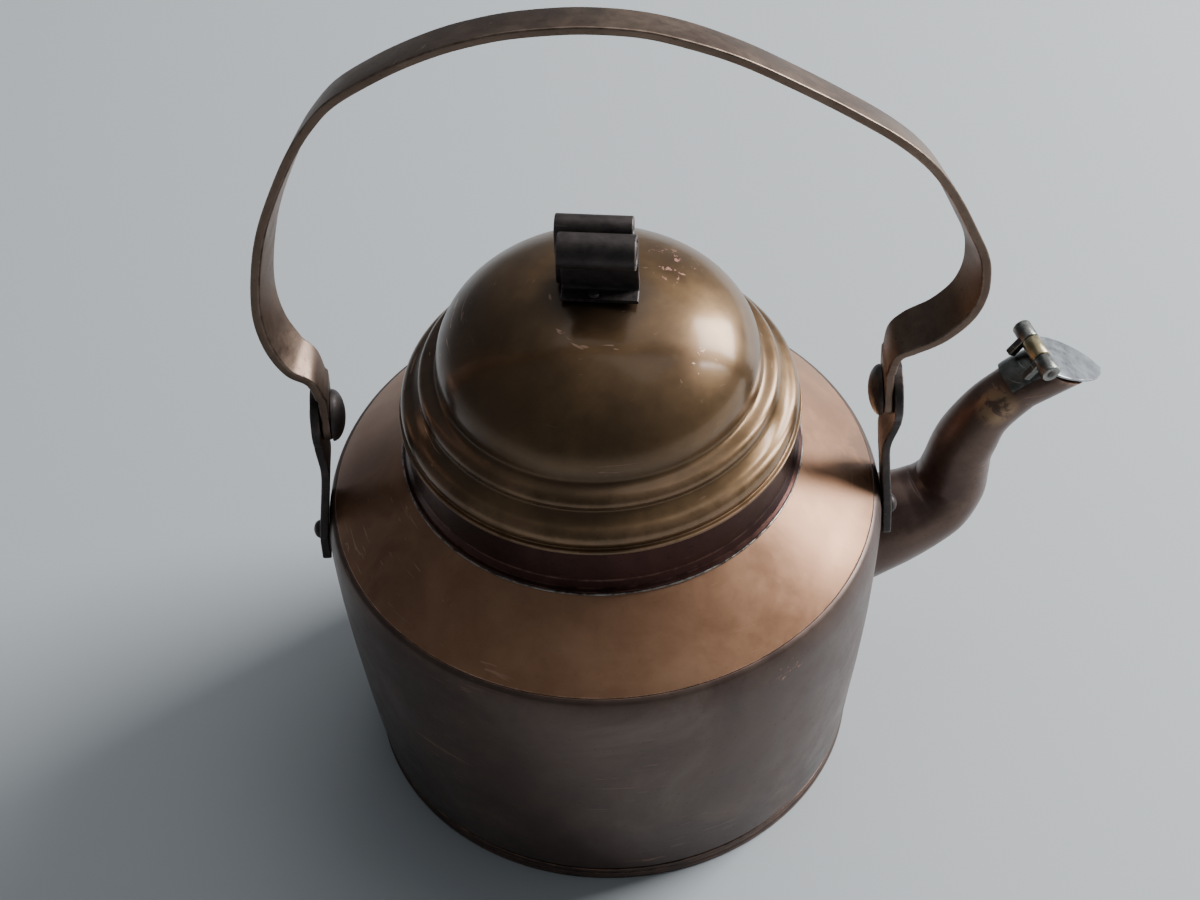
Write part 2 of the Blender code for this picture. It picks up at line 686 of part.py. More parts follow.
def leaf_outline():
    """The flap's leaf: as wide as its knuckle at the hinge, then broad, then drawn to a blunt point."""
    half, neck = FLAP_WIDTH / 2, knuckle_ends()[1]
    start = KNUCKLE_RADIUS + 2 * GAP
    curve = smooth_line([(start, half * 0.80), (FLAP_LENGTH * 0.32, half), (FLAP_LENGTH * 0.62, half * 0.88),
                         (FLAP_LENGTH * 0.88, half * 0.50), (FLAP_LENGTH, 0)], 4)
    side = [(0, neck), (KNUCKLE_RADIUS + GAP, neck)] + [(p.x, p.y) for p in curve]
    return side + [(x, -y) for x, y in reversed(side[:-1])]


def make_flap():
    low, high = knuckle_ends()
    flap = extruded("spout_flap", leaf_outline(), -HINGE_OFFSET + GAP, -HINGE_OFFSET + GAP + FLAP_SHEET, HINGE_FRAME)
    join(place(flap, TINNED), knuckle("middle_knuckle", low, high))
    return cut(flap, hinge_bore("flap_bore"))


def make_hinge_pin():
    half = HINGE_LENGTH / 2 + 0.0006
    pin = cylinder("flap_hinge_pin", HINGE_PIN_RADIUS, HINGE_FRAME @ Vector((0, -half, 0)),
                   HINGE_FRAME @ Vector((0, half, 0)), 20)
    return place(pin, BLACK_IRON)


def make_lug(name, start, end):
    """A web that joins an outer knuckle to the plate below it."""
    return block(name, (-KNUCKLE_RADIUS * 0.9, start, -SADDLE_LENGTH), (0, end, 0), HINGE_FRAME)


def make_saddle():
    """A curved plate on top of the spout behind the mouth, with the two outer knuckles."""
    low, high = knuckle_ends()
    half = HINGE_LENGTH / 2
    saddle = place(spout_tube("spout_hinge_saddle", GAP + SADDLE_SHEET), COPPER_DARK)
    plate = block("saddle_space", (-0.02, -SADDLE_WIDTH / 2, -SADDLE_LENGTH),
                  (-KNUCKLE_RADIUS * 0.3, SADDLE_WIDTH / 2, -2 * GAP), MOUTH_FRAME)
    boolean(saddle, "INTERSECT", plate)
    join(saddle, knuckle("back_knuckle", high + GAP, half), knuckle("front_knuckle", -half, low - GAP),
         make_lug("back_lug", high + GAP, SADDLE_WIDTH / 2), make_lug("front_lug", -SADDLE_WIDTH / 2, low - GAP))
    return cut(saddle, spout_tube("saddle_seat", GAP), hinge_bore("saddle_bore"))


clear_scene()
kettle = new_collection("copper_kettle")
cutters = new_collection("cutters")

make_wall()
make_base()
make_shoulder()
make_neck()
make_lid()
make_bezel()
make_scroll("knob_scroll_front", -1, FRONT_ROLL, KNOB_SHIFT)
make_scroll("knob_scroll_back", 1, BACK_ROLL, 0)
make_knob_rivet("knob_rivet_front", -1)
make_knob_rivet("knob_rivet_back", 1)
for ear_name, ear_side in EAR_SIDES:
    make_strap(ear_name, ear_side)
    make_ear_rivet(ear_name, ear_side)
    make_ear_burr(ear_name, ear_side)
    make_pivot_rivet(ear_name, ear_side)
make_bail()
make_spout()
make_flap()
make_hinge_pin()
make_saddle()
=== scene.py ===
from math import atan2, cos, hypot, pi, radians, sin, sqrt

import bmesh
import bpy
from mathutils import Matrix, Vector, noise
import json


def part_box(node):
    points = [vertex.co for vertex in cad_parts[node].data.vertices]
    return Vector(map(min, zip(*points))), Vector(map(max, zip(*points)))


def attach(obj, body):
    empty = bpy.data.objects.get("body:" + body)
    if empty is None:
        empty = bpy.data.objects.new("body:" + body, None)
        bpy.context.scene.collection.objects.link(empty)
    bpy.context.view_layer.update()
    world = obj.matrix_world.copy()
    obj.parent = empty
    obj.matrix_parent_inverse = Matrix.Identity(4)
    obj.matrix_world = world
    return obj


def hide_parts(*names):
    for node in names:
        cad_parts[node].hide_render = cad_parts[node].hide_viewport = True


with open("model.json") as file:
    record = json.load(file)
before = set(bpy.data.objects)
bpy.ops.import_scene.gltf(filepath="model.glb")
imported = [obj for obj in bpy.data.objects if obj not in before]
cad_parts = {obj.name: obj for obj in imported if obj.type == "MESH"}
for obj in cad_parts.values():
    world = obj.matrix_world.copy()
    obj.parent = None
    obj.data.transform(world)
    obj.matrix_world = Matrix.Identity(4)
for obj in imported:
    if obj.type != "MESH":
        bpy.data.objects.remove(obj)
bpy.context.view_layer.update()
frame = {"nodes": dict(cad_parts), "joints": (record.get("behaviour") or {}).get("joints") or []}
joints = {joint["name"]: joint for joint in frame["joints"]}
skin = 0.0012  # thickness of the sheet copper
seam = 0.0003  # gap left at a seam


# sharp is the angle in degrees past which an edge shades as a corner
def objectFrom(name, bm, sharp=38):
    bmesh.ops.recalc_face_normals(bm, faces=bm.faces)
    mesh = bpy.data.meshes.new(name)
    bm.to_mesh(mesh)
    bm.free()
    obj = bpy.data.objects.new(name, mesh)
    bpy.context.scene.collection.objects.link(obj)
    mesh.shade_smooth()
    mesh.set_sharp_from_angle(angle=radians(sharp))
    return obj


def finishPiece(obj, material, body, slot, *nodes):
    obj.data.materials.clear()
    obj.data.materials.append(material)
    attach(obj, body)
    if nodes:
        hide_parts(*nodes)
    return obj


def applyModifiers(obj):
    bpy.context.view_layer.update()
    mesh = bpy.data.meshes.new_from_object(obj.evaluated_get(bpy.context.evaluated_depsgraph_get()))
    obj.modifiers.clear()
    obj.data = mesh
    return obj


def boolean(obj, other, operation="DIFFERENCE"):
    modifier = obj.modifiers.new(other.name, "BOOLEAN")
    modifier.operation = operation
    modifier.object = other
    applyModifiers(obj)
    bpy.data.objects.remove(other, do_unlink=True)
    return obj


# corners are (x, y, fillet); the points that come back are (x, y, how rubbed bright the metal is there)
def rounded(corners, closed=True, steps=5):
    line = []
    count = len(corners)
    for i, (x, y, radius) in enumerate(corners):
        here = Vector((x, y))
        if radius <= 0 or (not closed and i in (0, count - 1)):
            line.append((x, y, 0.0))
            continue
        before, after = Vector(corners[i - 1][:2]), Vector(corners[(i + 1) % count][:2])
        inward, outward = before - here, after - here
        turn = inward.angle(outward)
        reach = radius / max(sin(turn / 2) / cos(turn / 2), 0.05)
        reach = min(reach, inward.length * 0.48, outward.length * 0.48)
        start, end = here + inward.normalized() * reach, here + outward.normalized() * reach
        for step in range(steps + 1):
            t = step / steps
            point = start * (1 - t) ** 2 + here * 2 * t * (1 - t) + end * t ** 2
            line.append((point.x, point.y, sin(pi * t) ** 0.5 if 0 < t < 1 else 0.0))
    return line


# a smooth random push, the same on every run
def wobble(point, size, amount, seed=0.0):
    return amount * noise.noise(point / size + Vector((seed, seed * 0.7, -seed)))


# turns a line of (radius, height, wear) about the kettle's upright axis
def lathe(name, line, closed=True, segments=224, dent=None, sharp=38):
    bm = bmesh.new()
    wear = bm.verts.layers.float.new("wear")
    rings = []
    for radius, height, worn in line:
        if radius < 1e-6:
            pole = bm.verts.new((0, 0, height))
            rings.append([pole])
            continue
        ring = []
        for i in range(segments):
            angle = 2 * pi * i / segments
            point = Vector((radius * cos(angle), radius * sin(angle), height))
            if dent:
                point *= 1 + dent(point) / point.length
            vert = bm.verts.new(point)
            vert[wear] = worn
            ring.append(vert)
        rings.append(ring)
    pairs = list(zip(rings, rings[1:]))
    if closed:
        pairs.append((rings[-1], rings[0]))
    for a, b in pairs:
        for i in range(segments):
            j = (i + 1) % segments
            if len(a) == 1 and len(b) == 1:
                break
            if len(a) == 1:
                bm.faces.new((a[0], b[i], b[j]))
            elif len(b) == 1:
                bm.faces.new((a[i], b[0], a[j]))
            else:
                bm.faces.new((a[i], b[i], b[j], a[j]))
    return objectFrom(name, bm, sharp)


def offsetLine(line, distance):
    offset = []
    for i, (x, y, worn) in enumerate(line):
        ax, ay = line[max(i - 1, 0)][:2]
        bx, by = line[min(i + 1, len(line) - 1)][:2]
        length = hypot(bx - ax, by - ay)
        offset.append((x + (by - ay) / length * distance, y - (bx - ax) / length * distance, 0.0))
    return offset


# a smooth curve through the points
def smoothLine(points, perSpan):
    points = [Vector(p) for p in points]
    ends = [2 * points[0] - points[1], *points, 2 * points[-1] - points[-2]]
    line = []
    for i in range(len(points) - 1):
        a, b, c, d = ends[i:i + 4]
        for step in range(perSpan):
            t = step / perSpan
            line.append(0.5 * (2 * b + (c - a) * t + (2 * a - 5 * b + 4 * c - d) * t ** 2
                               + (3 * b - a - 3 * c + d) * t ** 3))
    return line + [points[-1]]


# the unit direction of a flat line at its point i
def heading(line, i):
    before, after = line[max(i - 1, 0)], line[min(i + 1, len(line) - 1)]
    return Vector((after[0] - before[0], after[1] - before[1])).normalized()


def moved(obj, matrix):
    obj.data.transform(matrix)
    return obj


# joins closed sections of (point, wear) into one bar, with a face at each end
def loft(name, sections, sharp=45):
    bm = bmesh.new()
    wear = bm.verts.layers.float.new("wear")
    rows = []
    for section in sections:
        row = []
        for point, worn in section:
            vert = bm.verts.new(point)
            vert[wear] = worn
            row.append(vert)
        rows.append(row)
    count = len(rows[0])
    for a, b in zip(rows, rows[1:]):
        for i in range(count):
            j = (i + 1) % count
            bm.faces.new((a[i], a[j], b[j], b[i]))
    for row in (rows[0], rows[-1]):
        bm.faces.new(row)
    return objectFrom(name, bm, sharp)


def roundBar(width, thickness, radius, steps=4):
    corners = [(width / 2, thickness / 2, radius), (-width / 2, thickness / 2, radius),
               (-width / 2, -thickness / 2, radius), (width / 2, -thickness / 2, radius)]
    return rounded(corners, steps=steps)


def makeNode(tree, kind, **values):
    node = tree.nodes.new(kind)
    for name, value in values.items():
        setattr(node, name, value)
    return node


def link(tree, source, target):
    tree.links.new(source, target)


def noiseNode(tree, vector, scale, detail=4, roughness=0.6, distortion=0.0):
    node = makeNode(tree, "ShaderNodeTexNoise")
    link(tree, vector, node.inputs["Vector"])
    node.inputs["Scale"].default_value = scale
    node.inputs["Detail"].default_value = detail
    node.inputs["Roughness"].default_value = roughness
    node.inputs["Distortion"].default_value = distortion
    return node.outputs["Fac"]


def rampNode(tree, source, low, high, fromValue=0.0, toValue=1.0):
    node = makeNode(tree, "ShaderNodeMapRange", interpolation_type="SMOOTHSTEP")
    link(tree, source, node.inputs["Value"])
    for name, value in (("From Min", low), ("From Max", high), ("To Min", fromValue), ("To Max", toValue)):
        node.inputs[name].default_value = value
    return node.outputs["Result"]


def mathNode(tree, operation, a, b):
    node = makeNode(tree, "ShaderNodeMath", operation=operation)
    for socket, value in zip(node.inputs, (a, b)):
        if isinstance(value, (int, float)):
            socket.default_value = value
        else:
            link(tree, value, socket)
    return node.outputs[0]


def mixColor(tree, amount, a, b):
    node = makeNode(tree, "ShaderNodeMix", data_type="RGBA")
    for socket, value in zip((node.inputs[0], node.inputs[6], node.inputs[7]), (amount, a, b)):
        if isinstance(value, tuple):
            socket.default_value = (*value, 1)
        else:
            link(tree, value, socket)
    return node.outputs[2]


def mappedVector(tree, source, scale):
    node = makeNode(tree, "ShaderNodeMapping")
    link(tree, source, node.inputs["Vector"])
    node.inputs["Scale"].default_value = scale
    return node.outputs["Vector"]


# radius and height only, so that a pattern on it runs round like a lathe's marks
def turnedVector(tree, source):
    split = makeNode(tree, "ShaderNodeSeparateXYZ")
    link(tree, source, split.inputs[0])
    x2 = mathNode(tree, "MULTIPLY", split.outputs[0], split.outputs[0])
    y2 = mathNode(tree, "MULTIPLY", split.outputs[1], split.outputs[1])
    radius = mathNode(tree, "SQRT", mathNode(tree, "ADD", x2, y2), 0)
    join = makeNode(tree, "ShaderNodeCombineXYZ")
    link(tree, radius, join.inputs[0])
    link(tree, split.outputs[2], join.inputs[2])
    return join.outputs[0]


plainStainAndShade = dict(stretch=(1, 1, 1), core=0.4, cut=(0.35, 0.6))
plainMetal = dict(metallic=1.0, coat=0.0, coatRough=0.3, bloomShare=0.5, speckShare=0.5, wearShare=0.8,
                  scratchAcross=(60, 60, 900), scratchShare=0.5, ringScale=900, ringShare=0.25, pitShare=0.35,
                  bumpDepth=0.0003, stainsAndShade=())


# a tinted patch fades out from its centre and breaks up along a noise; some patches are stains and worn
# spots, others are painted shade
def stainAndShadeMask(tree, place, tintPatch):
    far = makeNode(tree, "ShaderNodeVectorMath", operation="DISTANCE")
    link(tree, mappedVector(tree, place, tintPatch["stretch"]), far.inputs[0])
    far.inputs[1].default_value = [a * b for a, b in zip(tintPatch["centre"], tintPatch["stretch"])]
    near = rampNode(tree, far.outputs["Value"], tintPatch["reach"], tintPatch["reach"] * tintPatch["core"])
    patch = noiseNode(tree, place, tintPatch["scale"], 4, 0.6, 0.5)
    low, high = tintPatch["cut"]
    return mathNode(tree, "MULTIPLY", near, rampNode(tree, patch, low, high, 0, tintPatch["share"]))


def agedMetal(name, given):
    look = {**plainMetal, **given}
    material = bpy.data.materials.new(name)
    material.use_nodes = True
    tree = material.node_tree
    shader = tree.nodes["Principled BSDF"]
    place = makeNode(tree, "ShaderNodeTexCoord").outputs["Object"]
    cloud = noiseNode(tree, place, look["cloudScale"], 5, 0.62, 0.6)
    mottle = noiseNode(tree, place, look["mottleScale"], 6, 0.7, 0.2)
    speck = noiseNode(tree, place, look["speckScale"], 3, 0.5)
    broad, fine = mathNode(tree, "MULTIPLY", cloud, 0.68), mathNode(tree, "MULTIPLY", mottle, 0.32)
    tone = mathNode(tree, "ADD", broad, fine)
    color = mixColor(tree, rampNode(tree, tone, 0.32, 0.66), look["deep"], look["main"])
    color = mixColor(tree, rampNode(tree, cloud, 0.56, 0.74, 0, look["bloomShare"]), color, look["bloom"])
    dark = rampNode(tree, speck, 0.60, 0.74, 0, look["speckShare"])
    color = mixColor(tree, dark, color, look["soot"])
    # stains, worn spots and painted shade are laid over the colour in turn
    for tintPatch in look["stainsAndShade"]:
        color = mixColor(tree, stainAndShadeMask(tree, place, {**plainStainAndShade, **tintPatch}), color, tintPatch["color"])
    attribute = makeNode(tree, "ShaderNodeAttribute", attribute_name="wear")
    rubbed = mathNode(tree, "MULTIPLY", attribute.outputs["Fac"], rampNode(tree, mottle, 0.38, 0.60))
    rubbed = mathNode(tree, "MULTIPLY", rubbed, look["wearShare"])
    drawn = noiseNode(tree, mappedVector(tree, place, look["scratchAcross"]), 1.0, 2, 0.5, 1.2)
    scratches = rampNode(tree, drawn, 0.665, 0.70, 0, look["scratchShare"])
    patchy = rampNode(tree, noiseNode(tree, place, 22, 2, 0.5), 0.5, 0.62)
    scratches = mathNode(tree, "MULTIPLY", scratches, patchy)
    bare = mathNode(tree, "MAXIMUM", rubbed, scratches)
    color = mixColor(tree, bare, color, look["bare"])
    link(tree, color, shader.inputs["Base Color"])
    shader.inputs["Metallic"].default_value = look["metallic"]
    rough = rampNode(tree, mottle, 0.3, 0.7, look["rough"][0], look["rough"][1])
    rough = mathNode(tree, "ADD", rough, mathNode(tree, "MULTIPLY", dark, 0.25))
    rough = mathNode(tree, "SUBTRACT", rough, mathNode(tree, "MULTIPLY", bare, 0.08))
    link(tree, rough, shader.inputs["Roughness"])
    shader.inputs["Coat Weight"].default_value = look["coat"]
    shader.inputs["Coat Roughness"].default_value = look["coatRough"]
    rings = noiseNode(tree, turnedVector(tree, place), look["ringScale"], 2, 0.5)
    height = mathNode(tree, "MULTIPLY", rings, look["ringShare"])
    height = mathNode(tree, "ADD", height, mathNode(tree, "MULTIPLY", mottle, 0.5))
    height = mathNode(tree, "ADD", height, mathNode(tree, "MULTIPLY", speck, look["pitShare"]))
    height = mathNode(tree, "SUBTRACT", height, mathNode(tree, "MULTIPLY", scratches, 0.3))
    bump = makeNode(tree, "ShaderNodeBump")
    bump.inputs["Strength"].default_value = look["bump"]
    bump.inputs["Distance"].default_value = look["bumpDepth"]
    link(tree, height, bump.inputs["Height"])
    link(tree, bump.outputs[0], shader.inputs["Normal"])
    return material


wallCopper = agedMetal("wallCopper", dict(
    deep=(0.068, 0.040, 0.032), main=(0.130, 0.084, 0.064),
    bloom=(0.175, 0.135, 0.115), soot=(0.03, 0.02, 0.018),
    bare=(0.55, 0.30, 0.20), cloudScale=15, mottleScale=70, speckScale=600, rough=(0.34, 0.46), bump=0.14,
    scratchAcross=(40, 40, 700), scratchShare=0.22, wearShare=0.35, speckShare=0.2, metallic=0.50,
    stainsAndShade=(
        dict(centre=(0.062, -0.082, 0.108), reach=0.010, scale=420, cut=(0.60, 0.64), share=0.8,
             color=(0.62, 0.28, 0.20), stretch=(1, 1, 2.2)),
        # darker towards the bottom of the wall and over the base
        dict(centre=(0, 0, 0.010), reach=0.125, core=0.72, scale=30, share=0.55, color=(0.05, 0.034, 0.03)),
    )))
shoulderCopper = agedMetal("shoulderCopper", dict(
    deep=(0.310, 0.148, 0.078), main=(0.450, 0.238, 0.132),
    bloom=(0.48, 0.29, 0.185), soot=(0.11, 0.06, 0.04),
    bare=(0.80, 0.47, 0.34), cloudScale=12, mottleScale=60, speckScale=500, rough=(0.32, 0.43), bump=0.10,
    scratchShare=0.3, wearShare=0.8, speckShare=0.12, metallic=0.55,
    stainsAndShade=(
        # painted shade: the left side of the shoulder, away from the light, darkened
        dict(centre=(-0.100, -0.02, 0.125), reach=0.090, core=0.2, scale=30, cut=(0.1, 0.7), share=0.75,
             color=(0.11, 0.048, 0.035)),
        # painted shadow of the right ear strap on the shoulder
        dict(centre=(0.098, 0.002, 0.122), reach=0.030, core=0.2, scale=60, share=0.6,
             color=(0.10, 0.06, 0.04)),
    )))
neckCopper = agedMetal("neckCopper", dict(
    deep=(0.028, 0.011, 0.009), main=(0.062, 0.026, 0.021),
    bloom=(0.09, 0.042, 0.032), soot=(0.012, 0.006, 0.005),
    bare=(0.60, 0.34, 0.24), cloudScale=20, mottleScale=120, speckScale=700, rough=(0.28, 0.42), bump=0.15,
    wearShare=0.1, scratchShare=0.1, metallic=0.92))
lidCopper = agedMetal("lidCopper", dict(
    deep=(0.120, 0.066, 0.028), main=(0.240, 0.136, 0.056),
    bloom=(0.21, 0.14, 0.075), soot=(0.05, 0.03, 0.018),
    bare=(0.80, 0.48, 0.34), cloudScale=14, mottleScale=60, speckScale=600, rough=(0.29, 0.37), bump=0.09,
    scratchShare=0.3, wearShare=0.3, speckShare=0.03, metallic=0.66, coat=0.35, coatRough=0.13,
    stainsAndShade=(
        # darker round the foot of the knob
        dict(centre=(0, 0, 0.2205), reach=0.027, core=0.45, scale=70, cut=(0.25, 0.5), share=0.85,
             color=(0.040, 0.026, 0.016)),
        # painted shade: the left side of the lid, away from the light, darkened
        dict(centre=(-0.064, -0.010, 0.182), reach=0.070, core=0.2, scale=20, cut=(0.1, 0.7), share=0.85,
             color=(0.055, 0.028, 0.016)),
        # painted shade over the whole dome, fading out on the beads
        dict(centre=(0, 0, 0.181), reach=0.066, core=0.90, scale=24, cut=(0.2, 0.7), share=0.45,
             color=(0.07, 0.036, 0.018)),
        dict(centre=(0.028, 0.016, 0.2160), reach=0.014, scale=260, cut=(0.60, 0.63), share=0.9,
             color=(0.80, 0.40, 0.30)),
        dict(centre=(0.035, -0.030, 0.2080), reach=0.012, scale=300, cut=(0.64, 0.67), share=0.7,
             color=(0.70, 0.50, 0.40)),
    )))
spoutCopper = agedMetal("spoutCopper", dict(
    deep=(0.075, 0.042, 0.034), main=(0.145, 0.090, 0.068),
    bloom=(0.19, 0.125, 0.09), soot=(0.03, 0.02, 0.017),
    bare=(0.50, 0.29, 0.20), cloudScale=26, mottleScale=90, speckScale=700, rough=(0.28, 0.40), bump=0.14,
    ringShare=0.0, wearShare=0.6, speckShare=0.25, metallic=0.6,
    stainsAndShade=(dict(centre=(0.147, 0.024, 0.126), reach=0.011, scale=180, cut=(0.42, 0.55), share=0.8,
                 color=(0.42, 0.27, 0.15)),)))
blackIron = agedMetal("blackIron", dict(
    deep=(0.034, 0.026, 0.025), main=(0.072, 0.058, 0.053),
    bloom=(0.105, 0.078, 0.066), soot=(0.018, 0.015, 0.015),
    bare=(0.20, 0.155, 0.135), cloudScale=60, mottleScale=260, speckScale=1300, rough=(0.38, 0.58), bump=0.5,
    ringShare=0.0, wearShare=0.5, metallic=0.6))
bailIron = agedMetal("bailIron", dict(
    deep=(0.125, 0.082, 0.062), main=(0.205, 0.145, 0.108),
    bloom=(0.27, 0.185, 0.13), soot=(0.045, 0.031, 0.027),
    bare=(0.38, 0.28, 0.22), cloudScale=26, mottleScale=120, speckScale=900, rough=(0.36, 0.50), bump=0.3,
    ringShare=0.0, wearShare=0.5, metallic=0.95, speckShare=0.4))
tinnedSheet = agedMetal("tinnedSheet", dict(
    deep=(0.20, 0.207, 0.218), main=(0.30, 0.31, 0.325),
    bloom=(0.36, 0.37, 0.38), soot=(0.13, 0.125, 0.12),
    bare=(0.75, 0.75, 0.75), cloudScale=60, mottleScale=200, speckScale=1200, rough=(0.26, 0.40), bump=0.2,
    ringShare=0.0, wearShare=0.8, speckShare=0.25))
hingeMetal = agedMetal("hingeMetal", dict(
    deep=(0.085, 0.085, 0.078), main=(0.175, 0.175, 0.160),
    bloom=(0.25, 0.24, 0.20), soot=(0.035, 0.032, 0.028),
    bare=(0.50, 0.48, 0.44), cloudScale=80, mottleScale=260, speckScale=1300, rough=(0.30, 0.46), bump=0.35,
    ringShare=0.0, wearShare=0.7, speckShare=0.4))
# painted highlight: the middle knuckle's yellow brightness is put into its colour
paintedHighlightKnuckle = agedMetal("paintedHighlightKnuckle", dict(
    deep=(0.20, 0.155, 0.085), main=(0.36, 0.30, 0.17),
    bloom=(0.42, 0.37, 0.25), soot=(0.07, 0.055, 0.035),
    bare=(0.70, 0.60, 0.40), cloudScale=80, mottleScale=260, speckScale=1300, rough=(0.28, 0.44), bump=0.3,
    ringShare=0.0, wearShare=0.7, speckShare=0.35))
solderGrey = agedMetal("solderGrey", dict(
    deep=(0.06, 0.045, 0.04), main=(0.15, 0.12, 0.10),
    bloom=(0.36, 0.33, 0.30), soot=(0.03, 0.022, 0.02),
    bare=(0.6, 0.55, 0.5), cloudScale=90, mottleScale=260, speckScale=1300, rough=(0.3, 0.5), bump=0.3,
    ringShare=0.0, wearShare=0.5))


wallLow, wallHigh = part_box("body_wall")
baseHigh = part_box("base_plate")[1]
shoulderLow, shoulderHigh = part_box("shoulder")
neckLow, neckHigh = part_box("neck_collar")
body = dict(footRadius=0.0905, bellyRadius=wallHigh.x, shoulderRadius=0.0994, neckFoot=0.0700,
            shoulderHeight=wallHigh.z, bellyHeight=wallHigh.z - 0.0119, bulge=0.0015, rim=0.0005,
            dent=0.00030)


def wallRadius(height):
    if height <= body["bellyHeight"]:
        part = height / body["bellyHeight"]
        swell = 4 * body["bulge"] * part * (1 - part)
        return body["footRadius"] + (body["bellyRadius"] - body["footRadius"]) * part + swell
    part = min(1, (height - body["bellyHeight"]) / (body["shoulderHeight"] - body["bellyHeight"]))
    return body["shoulderRadius"] + (body["bellyRadius"] - body["shoulderRadius"]) * sqrt(1 - part * part)


def bodyDent(point):
    fade = min(1, max(0, (point.z - baseHigh.z) / 0.02), max(0, (body["shoulderHeight"] - point.z) / 0.012))
    broad = wobble(point, 0.045, body["dent"], 3.1)
    return fade * (broad + wobble(point, 0.016, body["dent"] * 0.25, 7.7) - body["dent"] * 0.6)


def makeWall():
    foot, top = baseHigh.z + seam, body["shoulderHeight"]
    crimp = baseHigh.x - skin - seam
    outer = [(body["shoulderRadius"] - 0.0002, top, body["rim"])]
    heights = [top + (body["bellyHeight"] - top) * part for part in (0.06, 0.14, 0.26, 0.42, 0.6, 0.8)]
    heights += [body["bellyHeight"] + (foot + 0.001 - body["bellyHeight"]) * i / 26 for i in range(27)]
    outer += [(wallRadius(z), z, 0) for z in heights]
    outer += [(crimp + 0.0004, foot + 0.0002, 0.0003), (crimp, wallLow.z, 0.0002)]
    inner = [(radius - skin, height, 0.0) for radius, height, _ in reversed(outer[1:-2])]
    inner = [(crimp - skin, wallLow.z, 0.0002), (crimp - skin, foot + skin, 0.0)] + inner
    inner.append((body["shoulderRadius"] - skin, top, 0.0003))
    return lathe("wallSheet", rounded(outer + inner), dent=bodyDent)


pan = dict(floor=0.0015, hollow=0.0004, groove=0.0006, footWidth=0.012, hollowEdge=0.016)


def makeBase():
    radius, top, floor, hollow = baseHigh.x, baseHigh.z, pan["floor"], pan["hollow"]
    inside = radius - skin
    corners = [(0, floor, 0), (inside - 0.002, floor, 0), (inside, floor + 0.0002, 0.0006),
               (inside, top - 0.0002, 0.0004), (radius - 0.0001, top, 0.0006), (radius, top - 0.0012, 0.0005),
               (radius - pan["groove"], top * 0.5, 0.001), (radius, top * 0.28, 0.0008),
               (radius - 0.0002, 0, 0.0013), (radius - pan["footWidth"], 0, 0),
               (radius - pan["hollowEdge"], hollow, 0.002), (0.02, hollow, 0), (0, hollow, 0)]
    return lathe("basePan", rounded(corners, closed=False), closed=False)


shoulderSlope = atan2(neckLow.z - seam - body["shoulderHeight"], body["shoulderRadius"] - neckHigh.x)


def coneHeight(radius):
    rise = (body["shoulderRadius"] - radius) * sin(shoulderSlope) / cos(shoulderSlope)
    return body["shoulderHeight"] + rise


def shoulderDent(point):
    radius = hypot(point.x, point.y)
    fade = min(1, max(0, (radius - neckHigh.x) / 0.008), max(0, (shoulderHigh.x - radius) / 0.006))
    return fade * (wobble(point, 0.03, 0.00035, 1.3) + wobble(point, 0.012, 0.00008, 5.1) - 0.0001)


def makeShoulder():
    skirt, collar = shoulderHigh.x, body["neckFoot"] - skin - seam
    drop = skin / cos(shoulderSlope)
    lip = skirt + 0.0011  # the edge stands a little proud of the skirt, over the wall's rim
    outer = [(collar, shoulderHigh.z, 0.0003), (collar, coneHeight(collar), 0.001)]
    outer += [(r, coneHeight(r), 0) for r in (0.0725, 0.0775, 0.0825, 0.0875, 0.0925)]
    outer += [(lip, coneHeight(lip), 0.0007), (lip - 0.0004, coneHeight(lip) - 0.0007, 0.0003),
              (skirt, coneHeight(skirt) - 0.0016, 0.0003), (skirt, shoulderLow.z, 0.0003)]
    inner = [(skirt - skin, shoulderLow.z, 0.0003), (skirt - skin, coneHeight(skirt) - drop - 0.0004, 0.001),
             (collar - skin, coneHeight(collar - skin) - drop, 0.001),
             (collar - skin, shoulderHigh.z, 0.0003)]
    return lathe("shoulderCone", rounded(outer + inner), dent=shoulderDent)


def makeNeck():
    radius, inside = body["neckFoot"], body["neckFoot"] - skin
    foot, top, flare = neckLow.z, neckHigh.z, neckHigh.x
    corners = [(radius, top, 0.0005), (radius, foot + 0.0050, 0.003), (flare - 0.0012, foot + 0.0021, 0.0012),
               (flare, foot + 0.0012, 0.0005), (flare - 0.0001, foot, 0.0003),
               (inside, coneHeight(inside) + seam, 0.0003), (inside, top, 0.0004)]
    return lathe("neckBand", rounded(corners), dent=lambda p: wobble(p, 0.03, 0.00012, 9))


def nodeTree(name, sizes):
    tree = bpy.data.node_groups.new(name, "GeometryNodeTree")
    tree.interface.new_socket("Geometry", in_out="INPUT", socket_type="NodeSocketGeometry")
    tree.interface.new_socket("Geometry", in_out="OUTPUT", socket_type="NodeSocketGeometry")
    for size in sizes:
        tree.interface.new_socket(size, in_out="INPUT", socket_type="NodeSocketFloat")
    tree.interface.new_socket("Material", in_out="INPUT", socket_type="NodeSocketMaterial")
    return tree, makeNode(tree, "NodeGroupInput"), makeNode(tree, "NodeGroupOutput")


# every tree ends the same way: smooth, mark the wear, realize, paint
def closeTree(tree, given, result, shape, worn):
    wear = makeNode(tree, "GeometryNodeStoreNamedAttribute", data_type="FLOAT", domain="POINT")
    wear.inputs["Name"].default_value = "wear"
    wear.inputs["Value"].default_value = worn
    smooth = makeNode(tree, "GeometryNodeSetShadeSmooth")
    realize = makeNode(tree, "GeometryNodeRealizeInstances")
    paint = makeNode(tree, "GeometryNodeSetMaterial")
    link(tree, shape, smooth.inputs["Geometry"])
    link(tree, smooth.outputs[0], wear.inputs["Geometry"])
    link(tree, wear.outputs[0], realize.inputs[0])
    link(tree, realize.outputs[0], paint.inputs["Geometry"])
    link(tree, given.outputs["Material"], paint.inputs["Material"])
    link(tree, paint.outputs[0], result.inputs[0])
    return tree


